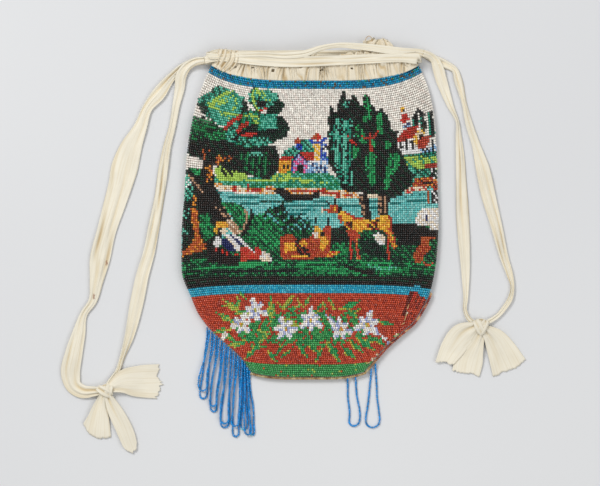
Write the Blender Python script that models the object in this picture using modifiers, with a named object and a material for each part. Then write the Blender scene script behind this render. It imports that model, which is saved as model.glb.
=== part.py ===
"""A beaded drawstring pouch, lying flat on its back, with its two drawstrings spread beside it.

Metres, +Z up. +Y points to the mouth, and +X to the right of someone looking down on the front.
The origin is on the flat underside, in the middle of the back panel.
"""
import math

import bmesh
import bpy
import numpy as np
from mathutils import Vector

MM = 0.001

# Sizes of the bag
CLEARANCE = 0.0003            # between pieces that touch on the real pouch
BAG_WIDTH = 0.1806
BAG_LENGTH = 0.2072           # middle of the bottom edge to the middle of the beadwork's top edge
ORIGIN_ABOVE_BOTTOM = 0.1057
FOLD_RADIUS = 0.0032          # where the front turns into the back, on the outside
CROWN = 0.0055                # how far the front swells between its side folds
CROWN_LENGTH = 0.0518         # from the bottom fold to where the front has swelled fully
BEADWORK_THICKNESS = 0.0015
GROOVE_DEPTH = 0.0006         # between the ribs, each of about nine rows of beads
GROOVE_WIDTH = 0.0030
ROW_BOW_RISE = 0.0117         # how far the ends of the top bead row stand above its middle
LINING_THICKNESS = 0.0006
LINING_CLEARANCE = 0.0005     # the lining is cut a little smaller than the beadwork

# Sizes of the silk header and its ribbons
HEADER_HEIGHT = 0.0215        # above the middle of the beadwork's top edge
HEADER_TAKE_IN = 0.0040       # narrower at the top, on each side
HEADER_FOLD_RADIUS = 0.0026
HEADER_CROWN = 0.0036
HEADER_THICKNESS = 0.0008
PLEATS = 22                   # on each side of the pouch
PLEAT_DEPTH = 0.0008
PLEAT_RIM_SHARE = 0.4         # of a pleat's depth, where it is sewn to the beadwork
PLEAT_SLANT = 1.1             # turns of a pleat sideways, from the bottom of the header to its top
TUFT_HEIGHT = 0.0080          # silk pulled up at the back
TUFT_PLACE = 0.0470
TUFT_WIDTH = 0.0110
RIBBON_THICKNESS = 0.0008
CASING_RIBBON_WIDTH = 0.0046
LEFT_RIBBON_BELOW_TOP = 0.0071
RIGHT_RIBBON_BELOW_TOP = 0.0019

# Sizes of the edge thread and the bead fringe
SEAM_DIAMETER = 0.0016
SEAM_END_PLACE = 0.30         # how far the thread goes up the right side
SEAM_CORNER_REACH = 1.25      # further out at the corner than along the edges
STRAND_DIAMETER = 0.0013
LOOP_TIE_RISE = 0.0018        # the tied ends stand above the loop's bed
LOOP_SIDE_SHARES = (0, 0.06, 0.14, 0.32, 0.52, 0.72, 0.88)

# How many steps the surfaces have
ROWS = 15
CLOSING_ROWS = 3
FRONT_STEPS = 10
FOLD_STEPS = 3
HEADER_ROWS = 3
STEPS_IN_PLEAT = 4
CASING_STEPS = 10
SEAM_BOTTOM_STEPS = 8
SEAM_SIDE_STEPS = 12
SLANT_STEP = 0.01             # the share of the bag's length over which an edge's slant is measured

# Half widths along the bag: place from the bottom (0) to the top edge (1), share of half the bag's width
LEFT_EDGE = (
    (0.000, 0.457), (0.042, 0.512), (0.115, 0.667), (0.174, 0.794), (0.216, 0.860), (0.288, 0.930),
    (0.357, 0.992), (0.413, 1.000), (0.615, 0.977), (0.748, 0.953), (0.848, 0.907), (1.000, 0.767),
)
RIGHT_EDGE = (
    (0.000, 0.420), (0.042, 0.492), (0.105, 0.605), (0.146, 0.698), (0.193, 0.804), (0.238, 0.866),
    (0.309, 0.938), (0.373, 0.973), (0.435, 0.990), (0.675, 0.991), (0.762, 0.983), (0.878, 0.950),
    (0.927, 0.915), (1.000, 0.845),
)
# How far the ends of a bead row stand above its middle, as a share of the top row's rise
ROW_BOW = (
    (0.00, 0.30), (0.10, 0.085), (0.28, -0.256), (0.50, 0.0), (0.78, 0.427), (0.93, 1.0), (1.00, 1.0),
)

# The drawstrings' routes over the floor: x, y, height of the ribbon's middle and its width, in millimetres
LEFT_OUTER_STRAND = (
    (-74.0, 115.9, 0.4, 4.8), (-81.0, 115.0, 0.4, 5.6), (-89.0, 111.6, 0.4, 5.0), (-97.0, 104.6, 0.4, 5.6),
    (-106.4, 92.4, 0.4, 9.0), (-113.8, 83.0, 0.4, 7.0), (-119.0, 69.3, 0.4, 9.8), (-126.0, 54.0, 0.4, 16.0),
    (-130.2, 40.6, 0.4, 18.0), (-133.0, 29.4, 0.4, 16.0), (-138.0, 12.6, 0.4, 15.0),
    (-142.8, -3.5, 0.4, 14.0),
    (-147.4, -23.1, 0.4, 14.0), (-149.8, -38.5, 0.4, 9.0), (-152.8, -53.2, 0.4, 5.6),
    (-158.2, -60.9, 0.4, 5.0),
    (-162.4, -76.3, 0.4, 10.0), (-165.9, -90.3, 0.4, 12.6), (-168.0, -104.3, 0.4, 13.0),
    (-165.5, -112.5, 0.5, 10.5),
    (-159.0, -116.2, 0.9, 9.0), (-152.0, -116.0, 1.6, 7.0), (-144.0, -115.2, 2.4, 5.0),
)
LEFT_INNER_STRAND = (
    (-74.0, 116.1, 6.6, 4.6), (-80.5, 115.2, 4.0, 5.6), (-86.4, 111.6, 1.9, 6.5), (-90.0, 106.4, 1.5, 7.4),
    (-91.4, 96.6, 0.5, 6.6), (-94.0, 84.0, 0.4, 5.0), (-96.6, 69.3, 0.4, 4.8), (-100.1, 56.0, 0.4, 5.8),
    (-102.9, 39.9, 0.4, 6.8), (-105.7, 20.3, 0.4, 6.4), (-110.0, -2.8, 0.4, 7.8), (-112.8, -18.0, 0.4, 8.4),
    (-117.6, -35.0, 0.4, 9.0), (-121.1, -51.8, 0.4, 9.0), (-126.7, -77.0, 0.4, 6.6),
    (-132.3, -93.8, 0.4, 3.6), (-134.8, -101.5, 0.5, 3.6), (-139.5, -109.5, 1.4, 5.0),
    (-142.0, -114.0, 2.4, 5.0),
)
RIGHT_OUTER_STRAND = (
    (79.5, 120.9, 0.4, 4.4), (87.0, 117.2, 0.4, 5.6), (95.2, 113.4, 0.4, 5.6), (101.5, 109.6, 0.4, 4.4),
    (104.0, 102.2, 0.4, 5.6), (108.2, 86.1, 0.4, 3.6), (111.7, 71.4, 0.4, 5.2), (116.6, 56.7, 0.4, 5.8),
    (121.1, 40.6, 0.4, 9.0), (125.3, 21.0, 0.4, 9.8), (130.9, 0.0, 0.4, 8.4), (136.5, -23.1, 0.4, 5.6),
    (140.2, -34.3, 0.4, 4.2), (142.0, -42.7, 0.4, 2.6), (140.4, -51.1, 0.4, 3.5), (136.5, -57.4, 0.4, 3.5),
    (131.3, -63.3, 0.6, 3.2), (126.0, -66.6, 1.4, 3.5), (121.0, -69.5, 2.4, 4.0),
)
RIGHT_INNER_STRAND = (
    (79.5, 121.0, 6.0, 4.4), (84.0, 119.4, 3.9, 5.0), (87.6, 116.2, 2.0, 6.5), (89.6, 111.4, 1.5, 8.0),
    (91.8, 103.6, 0.5, 8.0), (95.1, 93.8, 0.4, 6.3), (98.7, 84.0, 0.4, 4.2), (103.4, 73.5, 0.4, 2.4),
    (104.3, 62.3, 0.4, 4.2), (105.4, 47.6, 0.4, 6.3), (106.4, 25.2, 0.4, 7.7), (107.1, 7.7, 0.4, 8.4),
    (108.3, -14.0, 0.4, 7.7), (109.2, -36.4, 0.4, 5.6), (109.3, -50.4, 0.4, 3.2), (108.9, -59.5, 0.4, 2.5),
    (111.5, -65.1, 0.7, 3.0), (115.0, -68.0, 1.6, 3.5), (119.0, -70.0, 2.4, 4.0),
)
# Each drawstring's knot: its middle, its length, width and height, and its turn on the floor in degrees
LEFT_KNOT = ((-142.8, -114.8, 2.9), (10.5, 7.0, 5.0), 20)
RIGHT_KNOT = ((119.7, -70.4, 2.9), (9.0, 9.6, 5.0), 0)
LEFT_TAILS = (
    ((-141.0, -114.0, 3.2, 5.0), (-131.0, -109.5, 2.0, 16.0), (-119.0, -109.0, 1.2, 22.0),
     (-105.5, -109.0, 0.7, 25.0)),
    ((-144.5, -117.0, 3.0, 4.0), (-147.0, -126.0, 1.5, 10.0), (-148.5, -136.0, 1.0, 16.0),
     (-149.5, -144.5, 0.7, 20.0)),
    ((-142.5, -117.0, 2.6, 4.0), (-138.5, -126.0, 2.2, 8.5), (-130.5, -142.0, 1.0, 11.5),
     (-124.0, -159.0, 0.6, 11.0)),
)
RIGHT_TAILS = (
    ((118.0, -71.5, 3.0, 4.0), (108.5, -77.0, 1.6, 11.0), (101.0, -86.0, 1.1, 15.5),
     (94.5, -97.0, 0.7, 11.0)),
    ((120.5, -73.5, 2.4, 4.0), (117.0, -82.0, 1.8, 10.0), (112.0, -93.0, 1.0, 19.0),
     (109.5, -103.0, 0.6, 20.0)),
    ((121.5, -72.0, 3.0, 5.0), (128.0, -80.0, 1.8, 14.0), (134.5, -90.0, 1.1, 20.0),
     (139.0, -98.5, 0.7, 23.0)),
)
# The fringe on the left slant: the places of a loop's two ends, the x and y of its lowest point and how
# wide it hangs, in millimetres, and whether it lies on the floor (0) or on the loops beside it (1)
LEFT_FRINGE = (
    (0.172, 0.154, -74.6, -121.8, 4.4, 0), (0.163, 0.145, -75.4, -116.2, 5.2, 1),
    (0.138, 0.121, -67.9, -130.9, 4.6, 0), (0.130, 0.112, -67.7, -127.0, 5.2, 1),
    (0.105, 0.089, -59.6, -142.1, 5.0, 0), (0.097, 0.079, -60.2, -139.2, 5.2, 1),
    (0.072, 0.057, -52.2, -148.4, 4.6, 0), (0.064, 0.046, -52.2, -141.0, 5.2, 1),
    (0.041, 0.029, -46.2, -143.6, 3.6, 0), (0.033, 0.017, -43.8, -147.0, 4.6, 1),
    (0.014, 0.003, -40.6, -147.4, 3.6, 0),
)
# The loop under the bottom seam, at the shares of its length where its ends are tied, and the loop on the
# right slant, at its places; then as above
BOTTOM_FRINGE = ((0.855, 0.925, 31.2, -141.0, 7.4, 0),)
RIGHT_FRINGE = ((0.018, 0.038, 44.0, -142.0, 8.8, 0),)


def smooth_value(points, place):
    """The value at a place of the smooth curve through (place, value) points."""
    places, values = np.array(points, float).T
    slopes = np.gradient(values, places)
    place = min(max(place, places[0]), places[-1])
    i = min(max(int(np.searchsorted(places, place)) - 1, 0), len(places) - 2)
    span = places[i + 1] - places[i]
    u = (place - places[i]) / span
    return float(
        (2 * u**3 - 3 * u**2 + 1) * values[i] + (u**3 - 2 * u**2 + u) * span * slopes[i]
        + (3 * u**2 - 2 * u**3) * values[i + 1] + (u**3 - u**2) * span * slopes[i + 1])


def edge_left(place):
    return -BAG_WIDTH / 2 * smooth_value(LEFT_EDGE, place)


def edge_right(place):
    return BAG_WIDTH / 2 * smooth_value(RIGHT_EDGE, place)


def row_y(place, across):
    """Where a bead row runs, with across from -1 at its left end to 1 at its right end."""
    bow = ROW_BOW_RISE * smooth_value(ROW_BOW, place)
    return place * BAG_LENGTH - ORIGIN_ABOVE_BOTTOM + bow * across**4


def slant(edge, place):
    """How much wider than its true width an edge's wall is along a row, where the edge runs at a slant."""
    low, high = max(place - SLANT_STEP, 0), min(place + SLANT_STEP, 1)
    return math.hypot(1, (edge(high) - edge(low)) / ((high - low) * BAG_LENGTH))


def ring(left, right, middle_z, fold, swell, y_at, steps, pleat=None, slants=(1, 1)):
    """The points round a flattened tube: the front from left to right, then the back from right to left."""
    centre, half = (left + right) / 2, (right - left) / 2
    left_fold, right_fold = fold * slants[0], fold * slants[1]
    flat = right - right_fold - left - left_fold
    angles = [math.pi / 2 - math.pi * k / FOLD_STEPS for k in range(1, FOLD_STEPS)]
    points = []
    for i in range(steps + 1):
        across = 2 * i / steps - 1
        z = middle_z + fold + swell * (1 - abs(across)**3) + (pleat(i) if pleat else 0)
        points.append((left + left_fold + flat * i / steps, z))
    points += [(right - right_fold * (1 - math.cos(a)), middle_z + fold * math.sin(a)) for a in angles]
    for i in range(steps, -1, -1):
        points.append((left + left_fold + flat * i / steps, middle_z - fold - (pleat(i) if pleat else 0)))
    points += [(left + left_fold * (1 - math.cos(a)), middle_z - fold * math.sin(a)) for a in angles]
    back_from = steps + len(angles)
    return [Vector((x, y_at((x - centre) / half, k > back_from), z)) for k, (x, z) in enumerate(points)]


def new_object(name, mesh, collection):
    thing = bpy.data.objects.new(name, mesh)
    collection.objects.link(thing)
    return thing


def surface_between(name, rings, collection):
    """A surface through closed rings of points. It faces out where the rings run clockwise seen from +Y."""
    bm = bmesh.new()
    rows = [[bm.verts.new(point) for point in points] for points in rings]
    for lower, upper in zip(rows, rows[1:]):
        for k in range(len(lower)):
            n = (k + 1) % len(lower)
            bm.faces.new((lower[k], lower[n], upper[n], upper[k]))
    bmesh.ops.remove_doubles(bm, verts=bm.verts, dist=1e-6)
    mesh = bpy.data.meshes.new(name)
    bm.to_mesh(mesh)
    bm.free()
    mesh.shade_smooth()
    return new_object(name, mesh, collection)


def thicken(thing, thickness, offset):
    wall = thing.modifiers.new("wall", "SOLIDIFY")
    wall.thickness = thickness
    wall.offset = offset


def bag_ring(place, half_thickness, inset):
    """The points round the bag at one place along it."""
    opened = min(max(place * BAG_LENGTH - FOLD_RADIUS, 0) / CROWN_LENGTH, 1)
    slants = slant(edge_left, place), slant(edge_right, place)
    left, right = edge_left(place) + inset * slants[0], edge_right(place) - inset * slants[1]
    return ring(
        left, right, FOLD_RADIUS, half_thickness, CROWN * (1 - (1 - opened)**2),
        lambda across, back: row_y(place, across), FRONT_STEPS, slants=slants)


def bag_rows(fold, groove_depth):
    """The bag's rows from its bottom to its top edge: place, half thickness and depth of a groove there."""
    closing_from = FOLD_RADIUS / BAG_LENGTH
    groove_reach = GROOVE_WIDTH / 2 / BAG_LENGTH
    rows = []
    for k in range(CLOSING_ROWS):
        angle = math.pi / 2 * (1 - k / CLOSING_ROWS)
        rows.append((closing_from - fold / BAG_LENGTH * math.sin(angle), fold * math.cos(angle), 0))
    for k in range(ROWS + 1):
        place = closing_from + (1 - closing_from) * k / ROWS
        if groove_depth and 0 < k < ROWS:
            rows.append((place - groove_reach, fold, 0))
            rows.append((place, fold - groove_depth, groove_depth))
            rows.append((place + groove_reach, fold, 0))
        else:
            rows.append((place, fold, 0))
    return rows


def bag_shell(name, inset, thickness, groove_depth, collection):
    """A bag closed at the bottom: its outer surface, moved in by inset, its top edge and its inside."""
    outside = [
        bag_ring(place, half_thickness, inset + groove)
        for place, half_thickness, groove in bag_rows(FOLD_RADIUS - inset, groove_depth)]
    inside = [
        bag_ring(place, half_thickness, inset + thickness)
        for place, half_thickness, _ in bag_rows(FOLD_RADIUS - inset - thickness, 0)]
    return surface_between(name, outside + inside[::-1], collection)


def rim_y(x):
    """The top of the beadwork's edge at x, measured where its wall reaches furthest up."""
    line = bag_ring(1, FOLD_RADIUS, 0)[:FRONT_STEPS + 1]
    xs = [edge_left(1)] + [point.x for point in line] + [edge_right(1)]
    ys = [row_y(1, -1)] + [point.y for point in line] + [row_y(1, 1)]
    out = BEADWORK_THICKNESS + LINING_CLEARANCE + LINING_THICKNESS
    return max(float(np.interp(x - out, xs, ys)), float(np.interp(x + out, xs, ys)))


def header_lift():
    """The height of the header's underside, above the ribbons that run behind it."""
    return RIBBON_THICKNESS + CLEARANCE + PLEAT_DEPTH / 2


def header_top_y():
    return row_y(1, 0) + HEADER_HEIGHT


def header_front_z(x):
    """The crest of the header's front pleats."""
    across = (2 * x - edge_left(1) - edge_right(1)) / (edge_right(1) - edge_left(1))
    swell = HEADER_CROWN * (1 - min(abs(across), 1)**3)
    return header_lift() + 2 * HEADER_FOLD_RADIUS + swell + PLEAT_DEPTH / 2


def gathered_header(collection):
    """The pleated silk tube above the beadwork, with a tuft pulled up at the back."""
    steps = PLEATS * STEPS_IN_PLEAT
    rings = []
    for k in range(HEADER_ROWS + 1):
        up = k / HEADER_ROWS

        def y_at(across, back, up=up):
            x = edge_left(1) + (across + 1) / 2 * (edge_right(1) - edge_left(1))
            low = rim_y(x) + CLEARANCE
            tuft = TUFT_HEIGHT * math.exp(-((x - TUFT_PLACE) / TUFT_WIDTH)**4) if back else 0
            return low + up * (header_top_y() + tuft - low)

        def pleat(i, up=up):
            turn = i / STEPS_IN_PLEAT + PLEAT_SLANT * up
            share = PLEAT_RIM_SHARE + (1 - PLEAT_RIM_SHARE) * up
            return PLEAT_DEPTH / 2 * share * math.sin(2 * math.pi * turn)

        rings.append(ring(
            edge_left(1) + HEADER_TAKE_IN * up, edge_right(1) - HEADER_TAKE_IN * up,
            header_lift() + HEADER_FOLD_RADIUS, HEADER_FOLD_RADIUS, HEADER_CROWN, y_at, steps, pleat))
    header = surface_between("gathered_header", rings, collection)
    thicken(header, HEADER_THICKNESS, -1)
    return header


def strip(name, stations, collection):
    """A ribbon along stations, each a middle, the way its face looks, and a width."""
    middles = [Vector(station[0]) for station in stations]
    bm = bmesh.new()
    rows = []
    for k, (middle, facing, width) in enumerate(stations):
        along = middles[min(k + 1, len(middles) - 1)] - middles[max(k - 1, 0)]
        side = along.cross(Vector(facing)).normalized() * width / 2
        rows.append([bm.verts.new(Vector(middle) - side), bm.verts.new(Vector(middle) + side)])
    for (a, b), (c, d) in zip(rows, rows[1:]):
        bm.faces.new((a, b, d, c))
    mesh = bpy.data.meshes.new(name)
    bm.to_mesh(mesh)
    bm.free()
    ribbon = new_object(name, mesh, collection)
    thicken(ribbon, RIBBON_THICKNESS, 0)
    return ribbon


def floor_stations(route, facing):
    return [((x * MM, y * MM, z * MM), facing, width * MM) for x, y, z, width in route]


def drawstring_stations(outer, inner, below_top, side):
    """One ribbon: up from the knot, behind the header, round its far end, over its front and down again.

    side is -1 for the ribbon that leaves at the left, and 1 for the one that leaves at the right.
    """
    y = header_top_y() - below_top
    up, down = Vector((0, 0, 1)), Vector((0, 0, -1))
    near, far = (edge_left(1), edge_right(1)) if side < 0 else (edge_right(1), edge_left(1))
    near_x, far_x = near - side * HEADER_FOLD_RADIUS, far + side * HEADER_FOLD_RADIUS
    low = RIBBON_THICKNESS / 2
    above = CLEARANCE + RIBBON_THICKNESS / 2
    across = [near_x + (far_x - near_x) * k / CASING_STEPS for k in range(CASING_STEPS + 1)]
    stations = floor_stations(reversed(outer), down)
    stations += [((x, y, low), down, CASING_RIBBON_WIDTH) for x in across]
    high = header_front_z(far_x) + above
    centre_z, radius = (high + low) / 2, (high - low) / 2
    for angle in (-60, -30, 0, 30, 60):
        out = Vector((-side * math.cos(math.radians(angle)), 0, math.sin(math.radians(angle))))
        stations.append((Vector((far_x, y, centre_z)) + out * radius, out, CASING_RIBBON_WIDTH))
    stations += [((x, y, header_front_z(x) + above), up, CASING_RIBBON_WIDTH) for x in reversed(across)]
    stations += floor_stations(inner, up)
    return stations


def knot(name, place, size, turn, collection):
    bpy.ops.mesh.primitive_uv_sphere_add(segments=12, ring_count=8, radius=0.5)
    lump = bpy.context.object
    lump.name = name
    lump.scale = [length * MM for length in size]
    lump.rotation_euler.z = math.radians(turn)
    lump.location = [value * MM for value in place]
    for old in list(lump.users_collection):
        old.objects.unlink(lump)
    collection.objects.link(lump)
    return lump


def join_to(thing, other):
    """Make one body of both; the other is only a guide from then on."""
    union = thing.modifiers.new("join", "BOOLEAN")
    union.operation = "UNION"
    union.solver = "EXACT"
    union.object = other
    other.hide_render = True
    other.display_type = "WIRE"


def drawstring(name, outer, inner, below_top, side, knot_values, tails, collection, guides):
    ribbon = strip(name, drawstring_stations(outer, inner, below_top, side), collection)
    place, size, turn = knot_values
    join_to(ribbon, knot(name + "_knot_guide", place, size, turn, guides))
    for number, tail in enumerate(tails, 1):
        guide = strip(f"{name}_tail_guide_{number}", floor_stations(tail, (0, 0, 1)), guides)
        join_to(ribbon, guide)
    return ribbon


def tube(name, points, diameter, collection):
    """A cord's tube with closed ends through points that lie close together."""
    curve = bpy.data.curves.new(name, "CURVE")
    curve.dimensions = "3D"
    curve.bevel_depth = diameter / 2
    curve.bevel_resolution = 2
    curve.use_fill_caps = True
    spline = curve.splines.new("POLY")
    spline.points.add(len(points) - 1)
    for spot, point in zip(spline.points, points):
        spot.co = (*point, 1)
    return new_object(name, curve, collection)


def bottom_seam(collection):
    """The thread that closes the bottom edge and the lower right side."""
    out = CLEARANCE + SEAM_DIAMETER / 2
    left, right = edge_left(0), edge_right(0)
    line = []
    for k in range(SEAM_BOTTOM_STEPS + 1):
        share = k / SEAM_BOTTOM_STEPS
        line.append(Vector((left + (right - left) * share, row_y(0, 2 * share - 1), FOLD_RADIUS)))
    for k in range(1, SEAM_SIDE_STEPS + 1):
        place = SEAM_END_PLACE * k / SEAM_SIDE_STEPS
        line.append(Vector((edge_right(place), row_y(place, 1), FOLD_RADIUS)))
    moved = []
    for k, point in enumerate(line):
        along = (line[min(k + 1, len(line) - 1)] - line[max(k - 1, 0)]).normalized()
        outwards = Vector((along.y, -along.x, 0))
        moved.append(point + outwards * out * (SEAM_CORNER_REACH if k == SEAM_BOTTOM_STEPS else 1))
    return tube("bottom_seam", moved, SEAM_DIAMETER, collection)


def loop_points(start, end, low_x, low_y, width, layer):
    """A hanging loop's route between its two tied ends, each an x and a y in metres."""
    radius = STRAND_DIAMETER / 2
    bed = radius + layer * (STRAND_DIAMETER + CLEARANCE)
    half = width * MM / 2
    bend_x, bend_y = low_x * MM, low_y * MM + half + radius
    sides = []
    for tie, side in ((start, -1), (end, 1)):
        points = []
        for share in LOOP_SIDE_SHARES:
            ease = share * share * (3 - 2 * share)
            points.append((
                tie[0] + (bend_x + side * half - tie[0]) * ease, tie[1] + (bend_y - tie[1]) * share,
                bed + LOOP_TIE_RISE * max(1 - share / LOOP_SIDE_SHARES[2], 0)))
        sides.append(points)
    bend = []
    for degrees in range(0, 181, 30):
        angle = math.radians(degrees)
        bend.append((bend_x - half * math.cos(angle), bend_y - half * math.sin(angle), bed))
    return sides[0] + bend + sides[1][::-1]


def beside_slant(edge, side, place, beyond=0):
    """A point beside a slanted side, where a strand's end clears the beadwork and what is sewn on it."""
    along_x = edge(place + SLANT_STEP) - edge(place)
    along_y = row_y(place + SLANT_STEP, side) - row_y(place, side)
    length = math.hypot(along_x, along_y)
    out = CLEARANCE + beyond + STRAND_DIAMETER / 2
    return edge(place) + side * out * along_y / length, row_y(place, side) - side * out * along_x / length


def below_seam(share):
    """A point below the bottom seam, where a strand's end clears it."""
    x = edge_left(0) + (edge_right(0) - edge_left(0)) * share
    return x, row_y(0, 2 * share - 1) - 2 * CLEARANCE - SEAM_DIAMETER


def fringe(collection):
    over_seam = SEAM_DIAMETER + CLEARANCE
    loops = []
    for a, b, *how in LEFT_FRINGE:
        loops.append((beside_slant(edge_left, -1, a), beside_slant(edge_left, -1, b), *how))
    loops += [(below_seam(a), below_seam(b), *how) for a, b, *how in BOTTOM_FRINGE]
    for a, b, *how in RIGHT_FRINGE:
        ends = [beside_slant(edge_right, 1, place, over_seam) for place in (a, b)]
        loops.append((*ends, *how))
    return [
        tube(f"fringe_loop_{number:02d}", loop_points(*loop), STRAND_DIAMETER, collection)
        for number, loop in enumerate(loops, 1)]


def finish(name, colour, roughness):
    material = bpy.data.materials.new(name)
    material.use_nodes = True
    shader = material.node_tree.nodes["Principled BSDF"]
    shader.inputs["Base Color"].default_value = (*colour, 1)
    shader.inputs["Roughness"].default_value = roughness
    shader.inputs["Metallic"].default_value = 0
    return material


def picture_fields(bag):
    """The fields of colour on the beadwork: bands from the bottom edge to the top, then rounds on them."""
    bands = (
        (0.04, "green_beads", (0.06, 0.30, 0.12)), (0.28, "brick_red_beads", (0.33, 0.06, 0.04)),
        (0.33, "turquoise_beads", (0.05, 0.42, 0.62)), (0.52, "meadow_green_beads", (0.02, 0.14, 0.06)),
        (0.68, "river_beads", (0.25, 0.55, 0.58)), (0.96, "pale_sky_beads", (0.68, 0.62, 0.60)),
        (1.10, "blue_beads", (0.03, 0.25, 0.42)),
    )
    rounds = (
        ("tree_green_beads", (0.02, 0.18, 0.12), -0.050, 0.060, 0.036, 0.030),
        ("poplar_beads", (0.02, 0.10, 0.05), 0.036, 0.055, 0.022, 0.040),
        ("leaf_green_beads", (0.14, 0.34, 0.08), -0.004, -0.069, 0.055, 0.012),
    )
    for _, name, colour in bands:
        bag.data.materials.append(finish(name, colour, 0.35))
    for name, colour, *_ in rounds:
        bag.data.materials.append(finish(name, colour, 0.35))
    for face in bag.data.polygons:
        x, y, _ = face.center
        place = (y + ORIGIN_ABOVE_BOTTOM) / BAG_LENGTH
        face.material_index = next((i for i, band in enumerate(bands) if place < band[0]), len(bands) - 1)
        for i, (_, _, at_x, at_y, half_width, half_height) in enumerate(rounds, len(bands)):
            if math.hypot((x - at_x) / half_width, (y - at_y) / half_height) < 1:
                face.material_index = i


def main():
    for thing in list(bpy.data.objects):
        bpy.data.objects.remove(thing, do_unlink=True)
    parts = bpy.data.collections.new("beaded_pouch")
    guides = bpy.data.collections.new("guides")
    for collection in (parts, guides):
        bpy.context.scene.collection.children.link(collection)

    picture_fields(bag_shell("beadwork_bag", 0, BEADWORK_THICKNESS, GROOVE_DEPTH, parts))
    lining = bag_shell("silk_lining", BEADWORK_THICKNESS + LINING_CLEARANCE, LINING_THICKNESS, 0, parts)
    lining.data.materials.append(finish("lining_silk", (0.76, 0.68, 0.53), 0.6))
    gathered_header(parts).data.materials.append(finish("header_silk", (0.80, 0.72, 0.56), 0.55))
    bottom_seam(parts).data.materials.append(finish("seam_thread", (0.62, 0.49, 0.30), 0.8))
    for strand in fringe(parts):
        strand.data.materials.append(finish(strand.name + "_beads", (0.01, 0.16, 0.62), 0.2))
    strings = (
        ("drawstring_left", LEFT_OUTER_STRAND, LEFT_INNER_STRAND, LEFT_RIBBON_BELOW_TOP, -1, LEFT_KNOT,
         LEFT_TAILS),
        ("drawstring_right", RIGHT_OUTER_STRAND, RIGHT_INNER_STRAND, RIGHT_RIBBON_BELOW_TOP, 1, RIGHT_KNOT,
         RIGHT_TAILS),
    )
    for values in strings:
        ribbon = drawstring(*values, parts, guides)
        ribbon.data.materials.append(finish(ribbon.name + "_silk", (0.84, 0.77, 0.63), 0.5))


main()
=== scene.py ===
"""How the beaded drawstring pouch looks: its beads, silk, ribbons, seam thread and bead fringe.

Metres, +Z up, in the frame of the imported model: +Y points to the pouch's mouth.
"""

import math

import bpy
import numpy as np
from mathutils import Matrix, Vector
from mathutils.kdtree import KDTree


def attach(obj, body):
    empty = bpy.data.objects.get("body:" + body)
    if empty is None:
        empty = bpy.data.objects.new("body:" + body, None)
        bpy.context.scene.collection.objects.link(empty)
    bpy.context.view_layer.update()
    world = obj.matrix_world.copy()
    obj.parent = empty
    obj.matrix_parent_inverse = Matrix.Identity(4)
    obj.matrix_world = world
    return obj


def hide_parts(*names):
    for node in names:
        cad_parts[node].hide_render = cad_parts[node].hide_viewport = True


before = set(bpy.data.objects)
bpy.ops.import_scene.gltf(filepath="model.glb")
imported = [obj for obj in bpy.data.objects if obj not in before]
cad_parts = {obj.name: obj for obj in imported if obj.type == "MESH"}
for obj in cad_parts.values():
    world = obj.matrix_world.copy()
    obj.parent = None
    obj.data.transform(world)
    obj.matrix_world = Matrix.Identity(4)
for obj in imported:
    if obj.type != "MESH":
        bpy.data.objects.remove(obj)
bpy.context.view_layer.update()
BODY = "root"
MM = 0.001

# Sizes of the bag, as in the CAD
BAG_WIDTH = 0.1806
BAG_LENGTH = 0.2072
ORIGIN_ABOVE_BOTTOM = 0.1057
FOLD_RADIUS = 0.0032
CROWN = 0.0055
CROWN_LENGTH = 0.0518
LINING_INSET = 0.0021
HEADER_TAKE_IN = 0.0040
HEADER_FOLD_RADIUS = 0.0026
HEADER_CROWN = 0.0036
HEADER_LIFT = 0.0015
TUFT_PLACE = 0.0470
TUFT_WIDTH = 0.0110
LEFT_EDGE = (
    (0.000, 0.457), (0.042, 0.512), (0.115, 0.667), (0.174, 0.794), (0.216, 0.860), (0.288, 0.930),
    (0.357, 0.992), (0.413, 1.000), (0.615, 0.977), (0.748, 0.953), (0.848, 0.907), (1.000, 0.767),
)
RIGHT_EDGE = (
    (0.000, 0.420), (0.042, 0.492), (0.105, 0.605), (0.146, 0.698), (0.193, 0.804), (0.238, 0.866),
    (0.309, 0.938), (0.373, 0.973), (0.435, 0.990), (0.675, 0.991), (0.762, 0.983), (0.878, 0.950),
    (0.927, 0.915), (1.000, 0.845),
)
ROW_BOW = ((0.00, 3.5), (0.10, 1.0), (0.28, -3.0), (0.50, 0.0), (0.78, 5.0), (0.93, 11.7), (1.00, 11.7))

# The beads
BEAD_ROWS = 141
BEAD_PITCH = 0.00147
ROWS_BETWEEN_DECREASES = 6
BEAD_DEPTH = 0.00150
BEAD_COVER = 1.20             # a bead's width over its pitch, as its flat faces lie inside its round form
BEAD_INSET = 0.00062          # a bead's middle lies this far inside the CAD's surface
GROUND_INSET = 0.00105
FABRIC_THICKNESS = 0.0004
SHAPING_END = 0.45            # above this place every row has the same number of beads
BEAD_LOOK_STEP = 0.002        # how far along and up a bead looks for its turn
BEAD_PANELS = 3

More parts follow.
